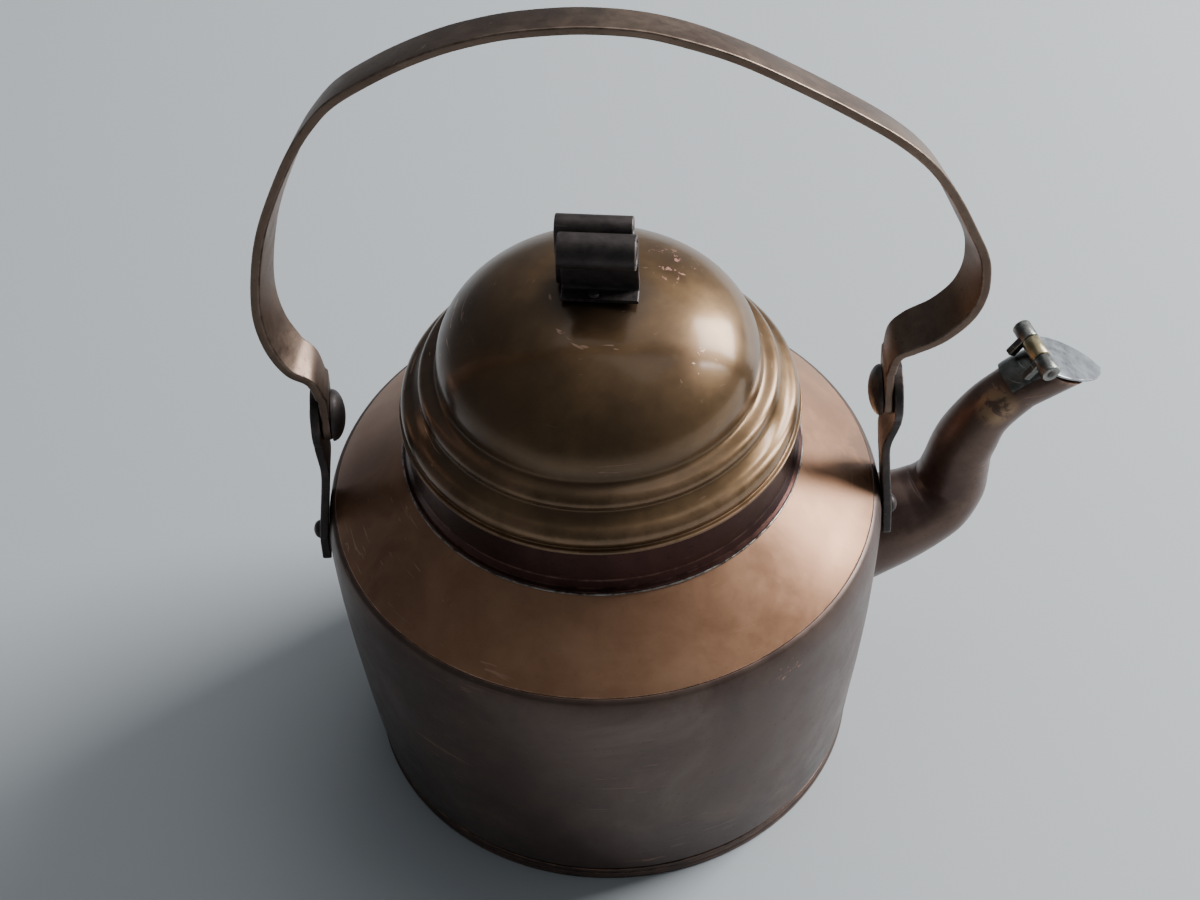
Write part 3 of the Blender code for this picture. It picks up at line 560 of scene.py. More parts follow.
# runs a tree on loose points and keeps the result as a plain mesh
def grown(name, points, tree, sizes, material, turns=None, sharp=50):
    mesh = bpy.data.meshes.new(name)
    mesh.from_pydata([tuple(point) for point in points], [], [])
    if turns:
        attribute = mesh.attributes.new("turn", "FLOAT_VECTOR", "POINT")
        for i, turn in enumerate(turns):
            attribute.data[i].vector = turn
    obj = bpy.data.objects.new(name, mesh)
    bpy.context.scene.collection.objects.link(obj)
    modifier = obj.modifiers.new("nodes", "NODES")
    modifier.node_group = tree
    sockets = {item.name: item.identifier for item in tree.interface.items_tree if item.in_out == "INPUT"}
    for size, value in sizes.items():
        modifier[sockets[size]] = value
    modifier[sockets["Material"]] = material
    applyModifiers(obj)
    obj.data.set_sharp_from_angle(angle=radians(sharp))
    return obj


def domeNodes(tree, radius, height, sides, rings):
    disc = makeNode(tree, "GeometryNodeMeshCylinder")
    for name, value in (("Vertices", sides), ("Side Segments", rings), ("Radius", 1.0), ("Depth", 1.0)):
        disc.inputs[name].default_value = value
    split = makeNode(tree, "ShaderNodeSeparateXYZ")
    link(tree, makeNode(tree, "GeometryNodeInputPosition").outputs[0], split.inputs[0])
    angle = mathNode(tree, "MULTIPLY", mathNode(tree, "ADD", split.outputs[2], 0.5), pi / 2 * 0.995)
    wide = mathNode(tree, "MULTIPLY", mathNode(tree, "COSINE", angle, 0), radius)
    join = makeNode(tree, "ShaderNodeCombineXYZ")
    link(tree, mathNode(tree, "MULTIPLY", split.outputs[0], wide), join.inputs[0])
    link(tree, mathNode(tree, "MULTIPLY", split.outputs[1], wide), join.inputs[1])
    link(tree, mathNode(tree, "MULTIPLY", mathNode(tree, "SINE", angle, 0), height), join.inputs[2])
    place = makeNode(tree, "GeometryNodeSetPosition")
    link(tree, disc.outputs["Mesh"], place.inputs["Geometry"])
    link(tree, join.outputs[0], place.inputs["Position"])
    return place.outputs[0]


def shifted(tree, shape, rise, upsideDown):
    step = makeNode(tree, "ShaderNodeCombineXYZ")
    link(tree, rise, step.inputs[2])
    move = makeNode(tree, "GeometryNodeTransform")
    link(tree, shape, move.inputs["Geometry"])
    link(tree, step.outputs[0], move.inputs["Translation"])
    if upsideDown:
        move.inputs["Rotation"].default_value = (pi, 0, 0)
    return move.outputs[0]


def makeRivetTree():
    sizes = ("Head Radius", "Head Height", "Foot Radius", "Foot Height", "Shank Radius", "Grip")
    tree, given, result = nodeTree("domedRivets", sizes)
    half = mathNode(tree, "MULTIPLY", given.outputs["Grip"], 0.5)
    head = domeNodes(tree, given.outputs["Head Radius"], given.outputs["Head Height"], 56, 14)
    foot = domeNodes(tree, given.outputs["Foot Radius"], given.outputs["Foot Height"], 56, 8)
    shank = makeNode(tree, "GeometryNodeMeshCylinder")
    shank.inputs["Vertices"].default_value = 40
    link(tree, given.outputs["Shank Radius"], shank.inputs["Radius"])
    link(tree, given.outputs["Grip"], shank.inputs["Depth"])
    whole = makeNode(tree, "GeometryNodeJoinGeometry")
    link(tree, shifted(tree, head, half, False), whole.inputs[0])
    link(tree, shifted(tree, foot, mathNode(tree, "MULTIPLY", half, -1), True), whole.inputs[0])
    link(tree, shank.outputs["Mesh"], whole.inputs[0])
    turn = makeNode(tree, "GeometryNodeInputNamedAttribute", data_type="FLOAT_VECTOR")
    turn.inputs["Name"].default_value = "turn"
    rotation = makeNode(tree, "FunctionNodeEulerToRotation")
    link(tree, turn.outputs["Attribute"], rotation.inputs[0])
    spread = makeNode(tree, "GeometryNodeInstanceOnPoints")
    link(tree, given.outputs["Geometry"], spread.inputs["Points"])
    link(tree, whole.outputs[0], spread.inputs["Instance"])
    link(tree, rotation.outputs[0], spread.inputs["Rotation"])
    return closeTree(tree, given, result, spread.outputs[0], 0.25)


def makeSolderTree():
    tree, given, result = nodeTree("solderBead", ("Ring Radius", "Bead Size", "Lumps"))
    ring = makeNode(tree, "GeometryNodeCurvePrimitiveCircle")
    ring.inputs["Resolution"].default_value = 300
    link(tree, given.outputs["Ring Radius"], ring.inputs["Radius"])
    lump = makeNode(tree, "ShaderNodeTexNoise")
    lump.inputs["Scale"].default_value = 90
    lumpy = mathNode(tree, "MULTIPLY", lump.outputs["Fac"], given.outputs["Lumps"])
    size = mathNode(tree, "ADD", lumpy, 0.25)
    section = makeNode(tree, "GeometryNodeCurvePrimitiveCircle")
    section.inputs["Resolution"].default_value = 10
    link(tree, given.outputs["Bead Size"], section.inputs["Radius"])
    sweep = makeNode(tree, "GeometryNodeCurveToMesh")
    link(tree, ring.outputs["Curve"], sweep.inputs["Curve"])
    link(tree, section.outputs["Curve"], sweep.inputs["Profile Curve"])
    link(tree, size, sweep.inputs["Scale"])
    spread = makeNode(tree, "GeometryNodeInstanceOnPoints")
    link(tree, given.outputs["Geometry"], spread.inputs["Points"])
    link(tree, sweep.outputs[0], spread.inputs["Instance"])
    return closeTree(tree, given, result, spread.outputs[0], 1.0)


rivetTree = makeRivetTree()
solder = dict(bead=0.0006, lumps=0.9, rise=0.0002)


def makeSolder():
    sizes = {"Ring Radius": neckHigh.x, "Bead Size": solder["bead"], "Lumps": solder["lumps"]}
    return grown("neckSolder", [(0, 0, neckLow.z + solder["rise"])], makeSolderTree(), sizes, solderGrey)


lid = dict(lowerBead=0.0046, upperBead=0.0036, lowerInset=0.0054, upperInset=0.0113, lowerRise=0.0050,
           upperRise=0.0158, lowerArc=(84, -34), upperArc=(78, -44), domeRadius=0.0574, domeRise=0.0247,
           domeSkirt=0.0205, rimHeight=0.0014, softness=6)
lidLow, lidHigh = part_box("lid_cover")
bezelLow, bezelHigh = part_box("lid_bezel")


def lidOuterLine():
    rim, seat = lidHigh.x, lidLow.z
    domeFoot = seat + lid["domeRise"]
    domeHeight = lidHigh.z - domeFoot
    line = []
    domeSteps, beadSteps = 44, 21
    for i in range(domeSteps + 1):
        angle = pi / 2 * i / domeSteps
        line.append((lid["domeRadius"] * sin(angle), domeFoot + domeHeight * cos(angle), 0.0))

    def bead(inset, rise, radius, first, last):
        for i in range(beadSteps + 1):
            angle = radians(first + (last - first) * i / beadSteps)
            worn = 0.3 * max(0, cos(angle - radians(30))) ** 4
            line.append((rim - inset + radius * cos(angle), seat + rise + radius * sin(angle), worn))

    line.append((lid["domeRadius"] + seam, seat + lid["domeSkirt"], 0.0))
    bead(lid["upperInset"], lid["upperRise"], lid["upperBead"], *lid["upperArc"])
    bead(lid["lowerInset"], lid["lowerRise"], lid["lowerBead"], *lid["lowerArc"])
    return line


def evenLine(line, step):
    spots = [line[0]]
    for a, b in zip(line, line[1:]):
        length = hypot(b[0] - a[0], b[1] - a[1])
        count = max(1, round(length / step))
        for k in range(1, count + 1):
            t = k / count
            spots.append(tuple(u + (v - u) * t for u, v in zip(a, b)))
    return spots


def soften(line, rounds):
    for _ in range(rounds):
        line = line[:2] + [((a[0] + 2 * b[0] + c[0]) / 4, (a[1] + 2 * b[1] + c[1]) / 4, b[2])
                           for a, b, c in zip(line[1:], line[2:], line[3:])] + line[-1:]
    return line


def lidDent(point):
    radius = hypot(point.x, point.y)
    fade = min(1, max(0, (lidHigh.x - radius) / 0.01))
    return fade * (wobble(point, 0.028, 0.00022, 4.4) + wobble(point, 0.010, 0.00006, 8.8) - 0.00008)


def makeLid():
    rim, seat = lidHigh.x, lidLow.z
    outer = soften(evenLine(lidOuterLine(), 0.0007), lid["softness"])
    inner = [p for p in offsetLine(outer, skin) if p[1] > seat + skin * 1.2][::-1]
    inner[-1] = (0.0, inner[-1][1], 0.0)
    edge = rounded([(*outer[-1][:2], 0), (rim - 0.0016, seat + lid["rimHeight"] + 0.0002, 0.0012),
                    (rim, seat + lid["rimHeight"], 0.0005), (rim, seat, 0.0005), (rim - 0.0018, seat, 0.0004),
                    (*inner[0][:2], 0)], closed=False)
    return lathe("lidDome", outer + edge[1:-1] + inner, closed=False, dent=lidDent)


def makeBezel():
    corners = [(bezelHigh.x, bezelHigh.z, 0.0003), (bezelHigh.x, bezelLow.z + 0.001, 0.0008),
               (bezelHigh.x - 0.0008, bezelLow.z, 0.0004), (bezelHigh.x - skin, bezelLow.z, 0.0003),
               (bezelHigh.x - skin, bezelHigh.z, 0.0003)]
    return lathe("lidSleeve", rounded(corners))


knob = dict(width=0.027, strip=0.0015, height=0.0228, frontRoll=0.0071, backRoll=0.0051, foot=0.0070,
            turns=1.45, shrink=0.60, turn=radians(-7), shift=0.0020, edge=0.0006)


def makeScroll(name, side, roll, shift):
    strip = knob["strip"]
    stem = 0.00015 + strip / 2
    line = [Vector((knob["foot"], 0)), Vector((stem + 0.0040, 0)), Vector((stem + 0.0020, 0.00003)),
            Vector((stem + 0.0008, 0.0004)), Vector((stem + 0.0001, 0.0016)), Vector((stem, 0.0040)),
            Vector((stem, 0.0085)), Vector((stem, knob["height"] - roll * 0.7))]
    line = smoothLine(line, 3)
    middle = Vector((stem + roll - strip / 2, knob["height"]))
    count = 84
    for i in range(1, count + 1):
        part = i / count
        angle = pi - knob["turns"] * 2 * pi * part
        radius = (roll - strip / 2) * (1 - knob["shrink"] * part ** 1.1)
        line.append(middle + radius * Vector((cos(angle), sin(angle))))
    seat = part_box(name)[0].z
    placeKnob = Matrix.Rotation(knob["turn"], 4, "Z") @ Matrix.Translation((0, 0, seat + strip / 2))
    bar = roundBar(knob["width"], strip, knob["edge"])
    sections = []
    for i, point in enumerate(line):
        along = heading(line, i)
        across = Vector((along.y, -along.x))
        section = []
        for u, v, worn in bar:
            at = point + across * v
            spot = Vector((u + shift, side * at.x, at.y))
            spot += Vector((wobble(spot, 0.008, 0.00012, side), 0, 0))
            section.append((placeKnob @ spot, worn))
        sections.append(section)
    return loft(name.replace("_", " ").title().replace(" ", ""), sections)


def rivetPair(name, nodes, spots, turns, sizes, body):
    piece = grown(name, spots, rivetTree, sizes, blackIron, turns)
    finishPiece(piece, blackIron, body, "black_iron", *nodes)


# head and foot are (radius, height); the head faces away from the kettle
def alongXRivets(name, node, shank, head, foot):
    spots, turns, grip = [], [], 0.0
    for sideName, side in (("left", -1), ("right", 1)):
        low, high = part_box(node + sideName)
        lowEnd, highEnd = (foot[1], head[1]) if side > 0 else (head[1], foot[1])
        inner, outer = low.x + lowEnd, high.x - highEnd
        grip = outer - inner
        spots.append(((inner + outer) / 2, 0, (low.z + high.z) / 2))
        turns.append((0, side * pi / 2, 0))
    sizes = {"Head Radius": head[0], "Head Height": head[1], "Foot Radius": foot[0], "Foot Height": foot[1],
             "Shank Radius": shank, "Grip": grip}
    rivetPair(name, (node + "left", node + "right"), spots, turns, sizes, "kettle")


def makeKnobRivets():
    spots, height = [], 0.0012
    for end in ("front", "back"):
        low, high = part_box("knob_rivet_" + end)
        spots.append(((low.x + high.x) / 2, (low.y + high.y) / 2, (low.z + high.z) / 2))
    radius = (high.x - low.x) / 2
    sizes = {"Head Radius": radius, "Head Height": height, "Foot Radius": radius, "Foot Height": height,
             "Shank Radius": 0.0012, "Grip": high.z - low.z - 2 * height}
    rivetPair("knobRivets", ("knob_rivet_front", "knob_rivet_back"), spots, [(0, 0, 0)] * 2, sizes, "lid")


ear = dict(strap=0.0032, width=0.016, cheek=0.01125, edge=0.0007, lean={-1: 0.0040, 1: 0.0020},
           step={-1: -0.0028, 1: 0.0018})
pivotHeight = joints["bail_swing"]["pos_m"][2]


def cheekFace(side):
    return body["bellyRadius"] + seam + ear["step"][side]


# how far the strap's inner face is from the middle, averaged over a few heights so that it bends softly
def earFace(height, side):
    face, cheek = body["bellyRadius"] + seam, cheekFace(side)
    foot, lean = pivotHeight - ear["cheek"], body["bellyRadius"] + seam - ear["lean"][side]
    points = [(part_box("ear_strap_left")[0].z - 0.001, face), (body["bellyHeight"], face),
              (foot - ear["cheek"], lean), (foot - ear["cheek"] * 0.7, lean + (cheek - lean) * 0.2),
              (foot, cheek), (pivotHeight + 0.03, cheek)]
    total = 0.0
    for k in range(-3, 4):
        z = height + k * 0.0012
        for (z0, x0), (z1, x1) in zip(points, points[1:]):
            if z <= z1:
                total += x0 + (x1 - x0) * max(0, (z - z0) / (z1 - z0))
                break
    return total / 7


def makeStrap(sideName, side):
    low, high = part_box("ear_strap_" + sideName)
    half = ear["width"] / 2
    heights = [low.z + (high.z - low.z) * i / 90 for i in range(90)]
    top = [high.z - 0.0006 * (0.5 ** i) for i in range(5)]
    sections = []
    for height in heights + top:
        above = height - pivotHeight
        chord = sqrt(max(ear["cheek"] ** 2 - above ** 2, 1e-9)) if abs(above) < ear["cheek"] else 0
        width = max(chord, half) if above < 0 else chord
        if above < -ear["cheek"] * 0.5:  # a small fillet where the strap swells into the cheek
            gap = max(0, 1 - abs(above + ear["cheek"] * 0.78) / 0.006)
            width += 0.0008 * gap * gap
        if height - low.z < 0.0016:
            width -= (0.0016 - (height - low.z)) ** 2 / 0.0032
        bar = roundBar(max(width, 0.0004) * 2, ear["strap"], ear["edge"])
        section = []
        for u, v, worn in bar:
            x = earFace(height, side) + ear["strap"] / 2 - v
            spot = Vector((side * x, u, height))
            spot.x += wobble(spot, 0.012, 0.00012, 2.0)
            spot.y += wobble(spot, 0.010, 0.00020, 4.0) * (1 if abs(u) > 0.004 else 0)
            section.append((spot, worn))
        sections.append(section)
    return loft("earStrap" + sideName.title(), sections)


bail = dict(width=0.016, strap=0.0034, cant=0.0045, eye=0.0088, legRise=0.0150, edge=0.0009)
bailLine = (  # (distance from the middle, height above the pivots)
    (-0.1008, 0.0245), (-0.1070, 0.0315), (-0.1123, 0.0450), (-0.1138, 0.0640), (-0.1095, 0.0920),
    (-0.1005, 0.1180), (-0.0890, 0.1400), (-0.0740, 0.1550), (-0.0400, 0.1710), (0.0000, 0.1750),
    (0.0360, 0.1660), (0.0740, 0.1430), (0.1095, 0.1135), (0.1280, 0.0770), (0.1316, 0.0595),
    (0.1285, 0.0450), (0.1200, 0.0345), (0.1100, 0.0285), (0.1045, 0.0235),
)


def makeBail():
    legs = [side * (cheekFace(side) - seam - bail["strap"] / 2) for side in (-1, 1)]
    rises = [-bail["eye"] + 0.0002 * 2 ** i for i in range(5)]
    rises += [rises[-1] + (bail["legRise"] - rises[-1]) * i / 12 for i in range(1, 13)]
    left, right = [(leg, bail["legRise"] - 0.003) for leg in legs]
    middle = smoothLine([left, *bailLine, right], 12)[4:-4]
    stations = [(legs[0], rise, 0.0) for rise in rises]
    count = len(middle)
    for i, point in enumerate(middle):
        share = min(1, i / 26, (count - 1 - i) / 26)
        stations.append((point.x, point.y, share * share * (3 - 2 * share)))
    stations += [(legs[1], rise, 0.0) for rise in reversed(rises)]
    sections = []
    for i, (x, rise, share) in enumerate(stations):
        along = heading(stations, i)
        across = Vector((along.y, -along.x))
        width = bail["width"] / 2
        if i < len(rises) or i >= len(stations) - len(rises):
            chord = sqrt(max(bail["eye"] ** 2 - rise ** 2, 1e-9)) if rise < bail["eye"] else 0
            width = chord if rise < 0 else max(chord, width)
        bar = roundBar(max(width, 0.0004) * 2, bail["strap"], bail["edge"])
        section = []
        for u, v, worn in bar:
            tilt = u / (bail["width"] / 2) * share * bail["cant"] / 2
            at = Vector((x, pivotHeight + rise)) + across * (tilt - v)
            spot = Vector((at.x, u, at.y))
            rough = Vector((wobble(spot, 0.02, 0.00015, 1), wobble(spot, 0.018, 0.0003, 2),
                            wobble(spot, 0.02, 0.00015, 3)))
            section.append((spot + rough * min(1, share * 3), worn))
        sections.append(section)
    return loft("bailStrap", sections)


spout = dict(turn=radians(13), mouthDistance=0.1669, mouthHeight=0.1380, mouthSlope=radians(35),
             rootFlare=0.0022, flareReach=0.005, seamStart=0.109, seamWidth=0.0022)
spoutLine = (  # (distance from the middle, height, radius)
    (0.0900, 0.0600, 0.0195), (0.1010, 0.0628, 0.0190), (0.1135, 0.0660, 0.0181), (0.1225, 0.0683, 0.0168),
    (0.1305, 0.0725, 0.0156), (0.1358, 0.0795, 0.0142), (0.1380, 0.0880, 0.0131), (0.1397, 0.0973, 0.0121),
    (0.1429, 0.1052, 0.0115), (0.1470, 0.1126, 0.0106), (0.1521, 0.1181, 0.0102), (0.1593, 0.1237, 0.0097),
    (0.1640, 0.1265, 0.0096), (0.1776, 0.1315, 0.0096), (0.1920, 0.1365, 0.0098),
)
spoutFrame = Matrix.Rotation(spout["turn"], 4, "Z") @ Matrix.Rotation(pi / 2, 4, "X")


def mouthMatrix():
    slope = spout["mouthSlope"]
    down, out = Vector((cos(slope), -sin(slope), 0)), Vector((sin(slope), cos(slope), 0))
    turn = Matrix((down, out.cross(down), out)).transposed().to_4x4()
    return spoutFrame @ Matrix.Translation((spout["mouthDistance"], spout["mouthHeight"], 0)) @ turn


mouth = mouthMatrix()


def tube(name, line, grow, sides=72, bumpy=0.0):
    sections = []
    for i, (distance, height, radius) in enumerate(line):
        along = heading(line, i)
        across = Vector((-along.y, along.x))
        section = []
        for j in range(sides):
            angle = 2 * pi * j / sides
            size = radius + grow
            flat = Vector((distance, height)) + across * (cos(angle) * size)
            spot = spoutFrame @ Vector((flat.x, flat.y, sin(angle) * size))
            if bumpy:
                centre = spoutFrame @ Vector((distance, height, 0))
                spot = centre + (spot - centre) * (1 + wobble(spot, 0.014, bumpy, 5.5) / size)
                proud = hypot(spot.x, spot.y) - wallRadius(spot.z)
                if proud < spout["flareReach"]:
                    near = 1 - max(0, proud) / spout["flareReach"]
                    spot = centre + (spot - centre) * (1 + spout["rootFlare"] * near ** 3 / size)
            section.append((spot, 0.0))
        sections.append(section)
    return loft(name, sections, 50)


def makeSpout():
    line = [tuple(p) for p in smoothLine(spoutLine, 7)]
    outer = tube("spoutTube", line, 0, bumpy=0.00022)
    inner = tube("spoutInside", [(line[0][0] - 0.004, line[0][1] - 0.001, line[0][2])] + line[1:], -skin)
    boolean(outer, inner)
    core = [(0.0, body["shoulderHeight"], 0.0)]
    heights = (0.1188, 0.112, 0.1069, 0.09, 0.075, 0.06, 0.045, 0.03, 0.01)
    core += [(wallRadius(z) - skin * 0.4, z, 0.0) for z in heights]
    core += [(0.0, 0.01, 0.0)]
    boolean(outer, lathe("bodySpace", core, closed=False, segments=160))
    bm = bmesh.new()
    bm.from_mesh(outer.data)
    normal = mouth.to_3x3() @ Vector((0, 0, 1))
    at = mouth @ Vector((0, 0, -0.0001))
    whole = bm.verts[:] + bm.edges[:] + bm.faces[:]
    cut = bmesh.ops.bisect_plane(bm, geom=whole, plane_co=at, plane_no=normal, clear_outer=True)
    edges = [e for e in cut["geom_cut"] if isinstance(e, bmesh.types.BMEdge)]
    bmesh.ops.bridge_loops(bm, edges=edges)
    wear = bm.verts.layers.float.get("wear") or bm.verts.layers.float.new("wear")
    for vert in bm.verts:
        depth = (mouth.inverted() @ vert.co).z
        vert[wear] = max(0.0, 1 - abs(depth) / 0.0008)
    bpy.data.objects.remove(outer, do_unlink=True)
    return objectFrom("spoutTube", bm, 50)


def makeSpoutSeam():
    line = [p for p in smoothLine(spoutLine, 7) if p.x > spout["seamStart"]]
    sections, seamSides = [], 10
    for i, point in enumerate(line[:-16]):  # the seam is dressed away before the mouth
        along = heading(line, i)
        under = Vector((along.y, -along.x))
        section = []
        for j in range(seamSides):
            angle = 2 * pi * j / seamSides
            size = spout["seamWidth"] / 2 + wobble(Vector((point.x, point.y, 0)), 0.006, 0.0003, 1)
            radius = point.z - 0.0001 + sin(angle) * 0.0003
            side = cos(angle) * size
            flat = Vector((point.x, point.y)) + under * radius
            section.append((spoutFrame @ Vector((flat.x, flat.y, side)), 0.25))
        sections.append(section)
    return loft("spoutSeam", sections, 80)


flap = dict(turn=radians(8), knuckle=0.0036, length=0.0252, offset=0.0033, lift=0.0024, share=0.36,
            pin=0.0013, leafLength=0.0380, leafWidth=0.0222, sheet=0.0010, dish=0.0006, saddleWidth=0.0155,
            saddleReach=0.012, saddleSheet=0.0012, lugFoot=-0.0085)
hinge = mouth @ Matrix.Translation((-flap["lift"], 0, flap["offset"])) @ Matrix.Rotation(flap["turn"], 4, "Z")


def rolledKnuckle(name, start, end):
    radius, edge = flap["knuckle"], 0.0004
    profile = [(flap["pin"] + 0.0004, end, 0.0), (radius - edge, end, 0.6),
               (radius - edge * 0.3, end - edge * 0.3, 1.0), (radius, end - edge, 0.6),
               (radius, (start + end) / 2, 0.0), (radius, start + edge, 0.6),
               (radius - edge * 0.3, start + edge * 0.3, 1.0), (radius - edge, start, 0.6),
               (flap["pin"] + 0.0004, start, 0.0)]
    turnToY = Matrix.Rotation(-pi / 2, 4, "X")
    return moved(lathe(name, profile, segments=72, sharp=50), hinge @ turnToY)


def joinPieces(first, *others):
    bm = bmesh.new()
    for piece in (first, *others):
        bm.from_mesh(piece.data)
    name = first.name
    for piece in (first, *others):
        bpy.data.objects.remove(piece, do_unlink=True)
    return objectFrom(name, bm, 45)


def leafHalfWidth(distance):
    half, length, neck = flap["leafWidth"] / 2, flap["leafLength"], flap["length"] * flap["share"] / 2
    start = flap["knuckle"] + 2 * seam
    if distance < start:
        return neck
    line = smoothLine([(start, half * 0.80), (length * 0.32, half), (length * 0.62, half * 0.88),
                       (length * 0.88, half * 0.50), (length, 0)], 12)
    for a, b in zip(line, line[1:]):
        if distance <= b.x:
            return a.y + (b.y - a.y) * (distance - a.x) / (b.x - a.x)
    return 0.0


def makeFlap():
    sections = []
    count = 64
    for i in range(count + 1):
        distance = flap["leafLength"] * (i / count) * 0.999
        half = max(leafHalfWidth(distance), 0.00025)
        lift = -flap["offset"] + seam + flap["sheet"] / 2
        bar = roundBar(half * 2, flap["sheet"], 0.0004)
        section = []
        for u, v, worn in bar:
            dish = flap["dish"] * (u / 0.0105) ** 2 * min(1, distance / 0.012)
            section.append((hinge @ Vector((distance, u, lift + v + dish)), worn))
        sections.append(section)
    half = flap["length"] * flap["share"] / 2
    return loft("spoutLid", sections), rolledKnuckle("knuckleMiddle", -half, half)


def makeSaddle():
    half, inner = flap["length"] / 2, flap["length"] * flap["share"] / 2 + seam
    pieces = [rolledKnuckle("hingeSaddle", inner, half), rolledKnuckle("knuckleFront", -half, -inner)]
    width, sheet, arcSteps = flap["saddleWidth"], flap["saddleSheet"], 16
    line = smoothLine(spoutLine, 10)
    sections = []
    for p, q in zip(line, line[1:]):
        along = Vector((q.x - p.x, q.y - p.y)).normalized()
        across = Vector((-along.y, along.x))
        top = Vector((p.x, p.y)) + across * (p.z + seam)
        depth = (mouth.inverted() @ (spoutFrame @ Vector((top.x, top.y, 0)))).z
        if -flap["saddleReach"] < depth < -0.0004:
            section = []
            for j in range(arcSteps + 1):
                angle = -width / 2 / p.z + width / p.z * j / arcSteps
                edge = 0.0002 if j in (0, arcSteps) else 0
                spot = Vector((p.x, p.y)) + across * (cos(angle) * (p.z + sheet + seam - edge))
                side = sin(angle) * (p.z + sheet + seam)
                section.append((spoutFrame @ Vector((spot.x, spot.y, side)), 0.8 if edge else 0.1))
            for j in range(arcSteps, -1, -1):
                angle = -width / 2 / p.z + width / p.z * j / arcSteps
                spot = Vector((p.x, p.y)) + across * (cos(angle) * (p.z - 0.0001))
                section.append((spoutFrame @ Vector((spot.x, spot.y, sin(angle) * (p.z - 0.0001))), 0.1))
            sections.append(section)
    plate = loft("saddlePlate", sections)
    for name, start, end in (("lugBack", inner, width / 2), ("lugFront", -width / 2, -inner)):
        sections = []
        for z in (0.0, -0.003, -0.006, flap["lugFoot"]):
            bar = roundBar(end - start, flap["knuckle"] * 0.9, 0.0005)
            back = -flap["knuckle"] * 0.45 + 0.12 * z
            middle = (start + end) / 2
            sections.append([(hinge @ Vector((back + v, middle + u, z)), worn) for u, v, worn in bar])
        pieces.append(loft(name, sections))
    return joinPieces(*pieces, plate)


def makePin():
    half = flap["length"] / 2 + 0.0006
    radius = flap["pin"]
    profile = [(0.0, half, 0.5), (radius * 0.7, half - 0.0001, 0.8), (radius * 1.25, half - 0.0004, 0.8),
               (radius * 1.3, half - 0.0006, 0.3), (radius, half - 0.0008, 0), (radius, -half + 0.0008, 0),
               (radius * 1.3, -half + 0.0006, 0.3), (radius * 1.25, -half + 0.0004, 0.8),
               (radius * 0.7, -half + 0.0001, 0.8), (0.0, -half, 0.5)]
    pin = lathe("flapPin", profile, closed=False, segments=32)
    return moved(pin, hinge @ Matrix.Rotation(-pi / 2, 4, "X"))


finishPiece(makeWall(), wallCopper, "kettle", "aged_copper", "body_wall")
finishPiece(makeBase(), wallCopper, "kettle", "aged_copper", "base_plate")
finishPiece(makeShoulder(), shoulderCopper, "kettle", "copper", "shoulder")
finishPiece(makeNeck(), neckCopper, "kettle", "aged_copper", "neck_collar")
finishPiece(makeSolder(), solderGrey, "kettle", "tinned_sheet")
print("body done")
finishPiece(makeLid(), lidCopper, "lid", "brassy_copper", "lid_cover")
finishPiece(makeBezel(), lidCopper, "lid", "brassy_copper", "lid_bezel")
for name, side, roll, shift in (("knob_scroll_front", -1, knob["frontRoll"], knob["shift"]),
                                ("knob_scroll_back", 1, knob["backRoll"], 0)):
    finishPiece(makeScroll(name, side, roll, shift), blackIron, "lid", "black_iron", name)
makeKnobRivets()
print("lid done")
for sideName, side in (("left", -1), ("right", 1)):
    finishPiece(makeStrap(sideName, side), blackIron, "kettle", "black_iron", "ear_strap_" + sideName)
    burr = frame["nodes"]["ear_burr_" + sideName]
    burr.data.materials.clear()
    burr.data.materials.append(wallCopper)
alongXRivets("earRivets", "ear_rivet_", shank=0.0019, head=(0.0034, 0.0024), foot=(0.0027, 0.0011))
alongXRivets("pivotRivets", "pivot_rivet_", shank=0.0030, head=(0.0046, 0.0007), foot=(0.0094, 0.0046))
finishPiece(makeBail(), bailIron, "bail", "black_iron", "bail")
print("handle done")
finishPiece(makeSpout(), spoutCopper, "kettle", "aged_copper", "spout")
finishPiece(makeSpoutSeam(), spoutCopper, "kettle", "aged_copper")
finishPiece(makeSaddle(), hingeMetal, "kettle", "aged_copper", "spout_hinge_saddle")
finishPiece(makePin(), blackIron, "kettle", "black_iron", "flap_hinge_pin")
leaf, knuckle = makeFlap()
finishPiece(leaf, tinnedSheet, "flap", "tinned_sheet", "spout_flap")
# the middle knuckle gets the painted-highlight colour
finishPiece(knuckle, paintedHighlightKnuckle, "flap", "tinned_sheet")
print("spout done")


room = dict(dark=0.135, bright=0.32, brightSide=(0.72, 0.42, 0.55), air=(0.84, 0.92, 1.0, 1),
            floor=(0.50, 0.52, 0.53, 1))
window = dict(place=(1.55, 0.68, 1.02), target=(0, 0, 0.12), size=(0.95, 0.95), power=83,
              color=(0.95, 0.975, 1.0))
ceiling = dict(place=(0.6, 0.9, 2.2), target=(0, 0, 0.1), size=(2.2, 2.0), power=12, color=(0.95, 0.97, 1.0))
view = dict(place=(-0.0009, -0.762, 0.962), tilt=radians(47.2), roll=-0.046, lens=92.55)


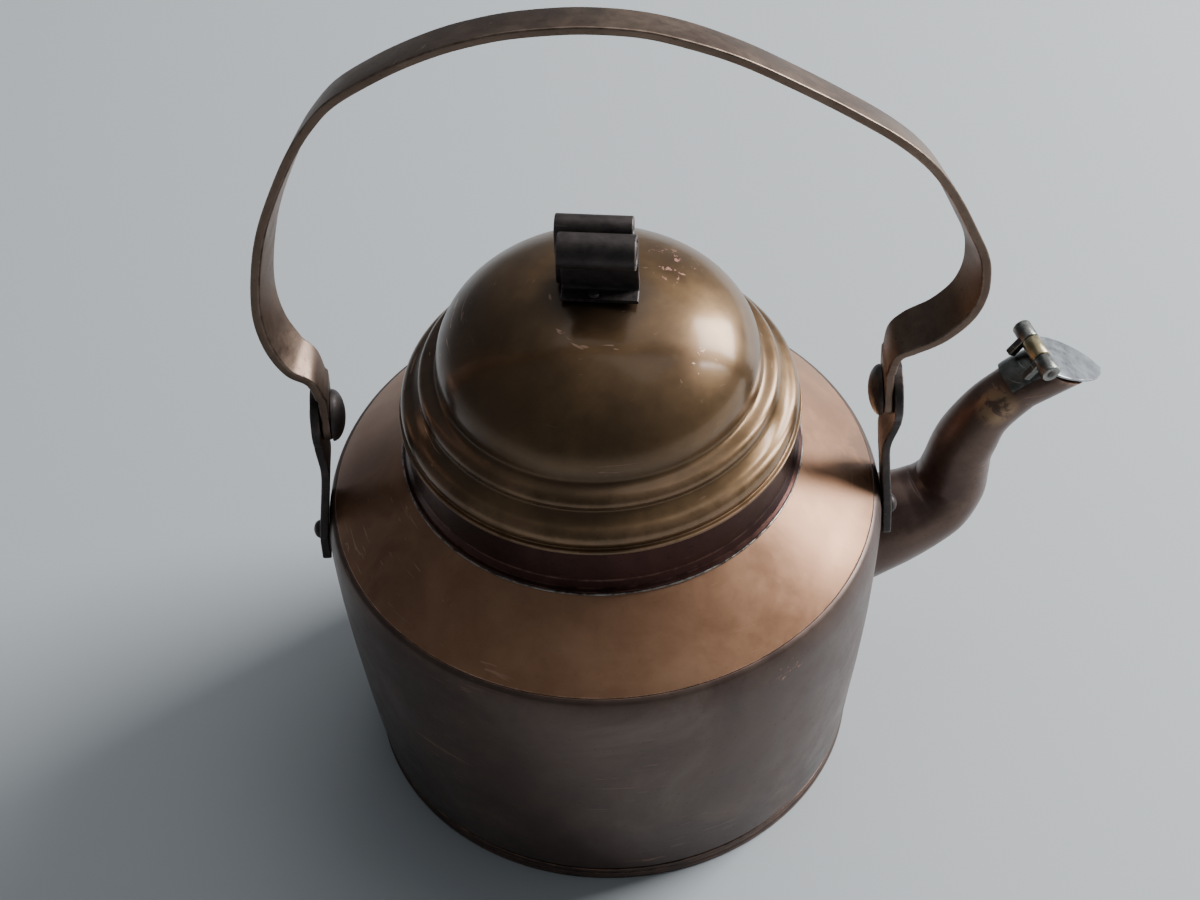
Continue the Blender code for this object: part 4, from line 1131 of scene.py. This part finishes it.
def addFloor():
    bm = bmesh.new()
    bmesh.ops.create_grid(bm, x_segments=2, y_segments=2, size=6)
    floor = objectFrom("floor", bm)
    material = bpy.data.materials.new("paleFloor")
    material.use_nodes = True
    shader = material.node_tree.nodes["Principled BSDF"]
    shader.inputs["Base Color"].default_value = room["floor"]
    shader.inputs["Roughness"].default_value = 0.6
    floor.data.materials.append(material)


def addLight(name, place, target, size, power, color):
    data = bpy.data.lights.new(name, "AREA")
    data.shape = "RECTANGLE"
    data.size, data.size_y = size
    data.energy = power
    data.color = color
    light = bpy.data.objects.new(name, data)
    light.location = place
    light.rotation_euler = (Vector(target) - Vector(place)).to_track_quat("-Z", "Y").to_euler()
    bpy.context.scene.collection.objects.link(light)


def addCamera():
    tilt, roll = view["tilt"], view["roll"]
    look = Vector((0, cos(tilt), -sin(tilt)))
    level, rise = Vector((1, 0, 0)), Vector((0, sin(tilt), cos(tilt)))
    right = level * cos(roll) + rise * sin(roll)
    up = rise * cos(roll) - level * sin(roll)
    data = bpy.data.cameras.new("camera")
    data.sensor_width = 36
    data.lens = view["lens"]
    data.clip_start, data.clip_end = 0.05, 50
    camera = bpy.data.objects.new("camera", data)
    turn = Matrix((right, up, -look)).transposed().to_4x4()
    camera.matrix_world = Matrix.Translation(view["place"]) @ turn
    bpy.context.scene.collection.objects.link(camera)
    bpy.context.scene.camera = camera


def addWorld():
    world = bpy.data.worlds.new("room")
    world.use_nodes = True
    tree = world.node_tree
    background = tree.nodes["Background"]
    toWindow = makeNode(tree, "ShaderNodeVectorMath", operation="DOT_PRODUCT")
    link(tree, makeNode(tree, "ShaderNodeTexCoord").outputs["Generated"], toWindow.inputs[0])
    toWindow.inputs[1].default_value = room["brightSide"]
    strength = rampNode(tree, toWindow.outputs["Value"], -0.1, 0.95, room["dark"], room["bright"])
    background.inputs["Color"].default_value = room["air"]
    link(tree, strength, background.inputs["Strength"])
    bpy.context.scene.world = world


addFloor()
addLight("window", **window)
addLight("ceiling", **ceiling)
addWorld()
addCamera()
print("stage done")
